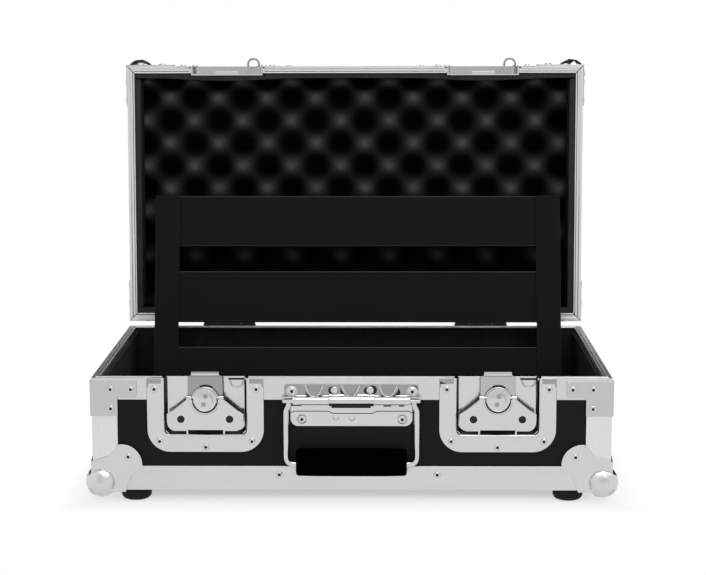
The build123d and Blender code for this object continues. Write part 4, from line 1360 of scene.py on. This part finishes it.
# Painted shade: grey outlines of the dimples.
dimples = [
    arc_tube(x, z, LOWER_Y, 2.4, 0.32, 175, 365, 24, 8) for x, z in ((-14.0, 79.6), (0.5, 79.2))
]
patches = (
    sheets([tongue(x) for x in TONGUES] + [skin], 2)
    + tubes(edges)
    + sheets(crescents + slots, 1)
    + tubes(dimples, 2)
    + tubes([crease], 1)
    + sheets([lower_sheet()])
)
dress(surface("handle_plate_details", patches, STEELS), "base", "plated_steel")
rolls = sheets([cover_roll(52.7, 3.9, 158), cover_roll(21.0, 4.8, 103)])
dress(surface("handle_cover_rolls", rolls, [STEEL]), "base", "plated_steel")
RIDGE = [(5.1, 0.0), (5.0, 0.25), (4.6, 0.28), (4.3, 0.1)]
BIG_SCREW = lathe(RIDGE + [(3.9, 0.5), (3.3, 1.1), (2.4, 1.45), (1.5, 1.35), (1.25, 0.6)], 32)
BIG_BORE = lathe([(1.3, 0.7), (0.0, 0.5)], 20)
DOME = lathe([(3.6, 0.0), (3.5, 0.5), (2.8, 1.15), (1.6, 1.6), (0.0, 1.75)], 28)
screws = front_spots([(-53.7, 104.2), (54.8, 103.9)], PLATE_Y)
screws += front_spots([(-44.8, 78.1), (45.9, 77.9)], LOWER_Y)
domes = front_spots([(-15.3, 104.9), (16.8, 104.9)], PLATE_Y)
heads = turned([place_at(BIG_SCREW, screws), place_at(DOME, domes)])
# Painted shade: near-black screw bores.
heads += turned([place_at(BIG_BORE, screws)], 1)
dress(surface("handle_screw_heads", heads, STEELS[:2]), "base", "plated_steel")

# %% [markdown]
# ## Lines of the lid's rim
# The lid's rim has a groove that takes the tongue of the base's rim. Its inner corner and the
# mitres hold shade, drawn here as narrow dark strips that lie in the groove.

# %% Rim lines


def groove_lines(outer, inner, z):
    """Strips between two insets from the outside; the front ones stop at the dishes."""
    x0, x1, y0, y1 = HALF_W - outer, HALF_W - inner, HALF_D - outer, HALF_D - inner
    bars = [[[(-x0, y0), (x0, y0)], [(-x1, y1), (x1, y1)]]]
    bars += [[[(s * x0, -y0), (s * x0, y0)], [(s * x1, -y1), (s * x1, y1)]] for s in (-1, 1)]
    stops = [7 - HALF_W, *POCKET_SIDES, HALF_W - 7]
    for a, b in zip(stops[0::2], stops[1::2]):
        bars.append([[(a, -y0), (b, -y0)], [(a, -y1), (b, -y1)]])
    return list(np.insert(np.array(bars), 2, z, -1))


def mitre(sx, sy, z, start, end, width=0.45):
    """A narrow strip along a mitre between two insets from the outer corner."""
    ends = [(sx * (HALF_W - i), sy * (HALF_D - i), z) for i in (start, end)]
    side = np.array([sx, -sy, 0]) * width / 2
    return np.array([[e + side, e - side] for e in np.array(ends, float)])


levels = [(LID_Z - 0.02, 0.3, 2.8), (LID_Z + 1.57, 2.9, 6.1), (LID_Z - 0.02, 6.2, 7.4)]
strips = groove_lines(5.35, 6.15, LID_Z + 1.55)
strips += [mitre(sx, sy, *level) for sx, sy in CORNER_SIGNS for level in levels]
lines = surface("lid_rim_lines", sheets(strips, 0, in_lid), [STEEL_PAINTED_SHADE])
dress(lines, "lid", "aluminium")


def rim_bead(x):
    """The rolled edge of a dish at the lid's rim: a U of wire, pressed flat 0.3 mm out of the rim."""
    corners = [(-36.2, -131.9, 0), (-36.2, -123.0, 0), (36.2, -123.0, 0), (36.2, -131.9, 0)]
    u = smooth_path(corners, 3.0)
    wire = tube(u + (x, 0, LID_Z + 0.1), 0.85, (0, 0, 1), 10)
    wire[..., 2] = np.maximum(wire[..., 2], LID_Z - 0.3)
    return wire


def rim_filler(x, side):
    """The end of a rim bar beside a dish."""
    across = x + side * np.array([[37.2], [39.1]])
    return front_points(across, np.array([[-129.6, -124.6]]), LID_Z + 0.65)


beads = [rim_bead(x) for side, x in SIDES]
fillers = [rim_filler(x, s) for side, x in SIDES for s in (-1, 1)]
patches = tubes(beads, 0, in_lid) + sheets(fillers, 1, in_lid)
dress(surface("lid_dish_edges", patches, [STEEL, ALUMINIUM_LID]), "lid", "plated_steel")

# %% [markdown]
# ## Studio
# A pale floor, a white surround and two large soft lamps. Floor and surround are white for what the
# camera and the polished metal see, and dimmer for diffuse light, so that the case keeps a shadow.
# Cards that only the metal sees give its reflections their dark and grey parts.

# %% Floor, surround and lamps


def seen_rays(tree):
    """1 for a ray from the camera, off polished metal or through glass, otherwise 0."""
    paths = tree.nodes.new("ShaderNodeLightPath")
    seen = Flow(tree, paths.outputs["Is Camera Ray"])
    for kind in ("Is Glossy Ray", "Is Transmission Ray"):
        seen = seen.math("MAXIMUM", seen, Flow(tree, paths.outputs[kind]))
    return seen


floor_mesh = bpy.data.meshes.new("floor")
floor_mesh.from_pydata([(-60, -60, 0), (60, -60, 0), (60, 60, 0), (-60, 60, 0)], [], [(0, 1, 2, 3)])
floor = add_object("floor", floor_mesh)
floor.location.z = -0.0002
pale = bpy.data.materials.new("floor")
pale.use_nodes = True
tree = pale.node_tree
tree.nodes.remove(tree.nodes["Principled BSDF"])
plain = add_node(tree, "ShaderNodeBsdfDiffuse", {"Color": (0.86, 0.86, 0.86, 1)})
glow = add_node(tree, "ShaderNodeEmission", {"Color": (1, 1, 1, 1), "Strength": 1.0})
place = add_node(tree, "ShaderNodeTexCoord", out="Object")
x_part, y_part = (add_node(tree, "ShaderNodeSeparateXYZ", {0: place}, out=i) for i in (0, 1))
outside_x = abs(x_part) - HALF_W * 0.001
outside_y = abs(y_part + FORWARD * 0.001) - HALF_D * 0.001
away = outside_x.math("MAXIMUM", outside_x, outside_y)
far = add_node(tree, "ShaderNodeMapRange", {0: away, 1: -0.03, 2: 0.035, 3: 0.52, 4: 1.0})
both = add_node(tree, "ShaderNodeMixShader", {0: far * seen_rays(tree), 1: plain, 2: glow})
tree.links.new(both.socket, tree.nodes["Material Output"].inputs[0])
floor_mesh.materials.append(pale)

WORLD_FILL = 0.18
world = bpy.data.worlds.new("studio")
bpy.context.scene.world = world
world.use_nodes = True
tree = world.node_tree
strength = WORLD_FILL + seen_rays(tree) * (1.0 - WORLD_FILL)
tree.links.new(strength.socket, tree.nodes["Background"].inputs["Strength"])
tree.nodes["Background"].inputs["Color"].default_value = (1, 1, 1, 1)


def lamp(name, place, target, size, power, shown):
    """A soft square lamp that looks at a target."""
    data = bpy.data.lights.new(name, "AREA")
    data.shape = "RECTANGLE"
    data.size, data.size_y = size
    data.energy = power
    light = add_object(name, data)
    light.location = place
    light.rotation_euler = (Vector(target) - Vector(place)).to_track_quat("-Z", "Y").to_euler()
    light.visible_glossy = shown


lamp("top", (0.6, -0.6, 2.4), (0, 0, 0.1), (2.6, 1.8), 25, True)
lamp("front", (0.2, -3.0, 1.3), (0, 0, 0.15), (2.2, 1.6), 60, False)


def card(name, corners, strength):
    """A plain card that only polished metal sees, as a studio sets up to shape reflections."""
    mesh = bpy.data.meshes.new(name)
    mesh.from_pydata(corners, [], [(0, 1, 2, 3)])
    piece = add_object(name, mesh)
    material = bpy.data.materials.new(name)
    material.use_nodes = True
    tree = material.node_tree
    tree.nodes.remove(tree.nodes["Principled BSDF"])
    light = add_node(tree, "ShaderNodeEmission", {"Color": (1, 1, 1, 1), "Strength": strength})
    tree.links.new(light.socket, tree.nodes["Material Output"].inputs[0])
    mesh.materials.append(material)
    piece.visible_camera = False
    piece.visible_diffuse = False
    piece.visible_shadow = False


card("grey_card", [(-4, -4.2, -0.5), (4, -4.2, -0.5), (4, -4.2, 4.0), (-4, -4.2, 4.0)], 0.85)
upright = ((0.66, -0.5), (3.6, -0.5), (3.6, 4), (0.66, 4))
for side in (-1, 1):
    card(f"flag_{side}", [(side * x, 3, z) for x, z in upright], 0.03)
card("flag_top", [(-3.6, 3, 0.95), (3.6, 3, 0.95), (3.6, 3, 4.0), (-3.6, 3, 4.0)], 0.03)
card("flag_roof", [(-3.6, 0.9, 3.6), (3.6, 0.9, 3.6), (3.6, 3, 3.6), (-3.6, 3, 3.6)], 0.03)
bpy.context.scene.view_settings.view_transform = "Standard"
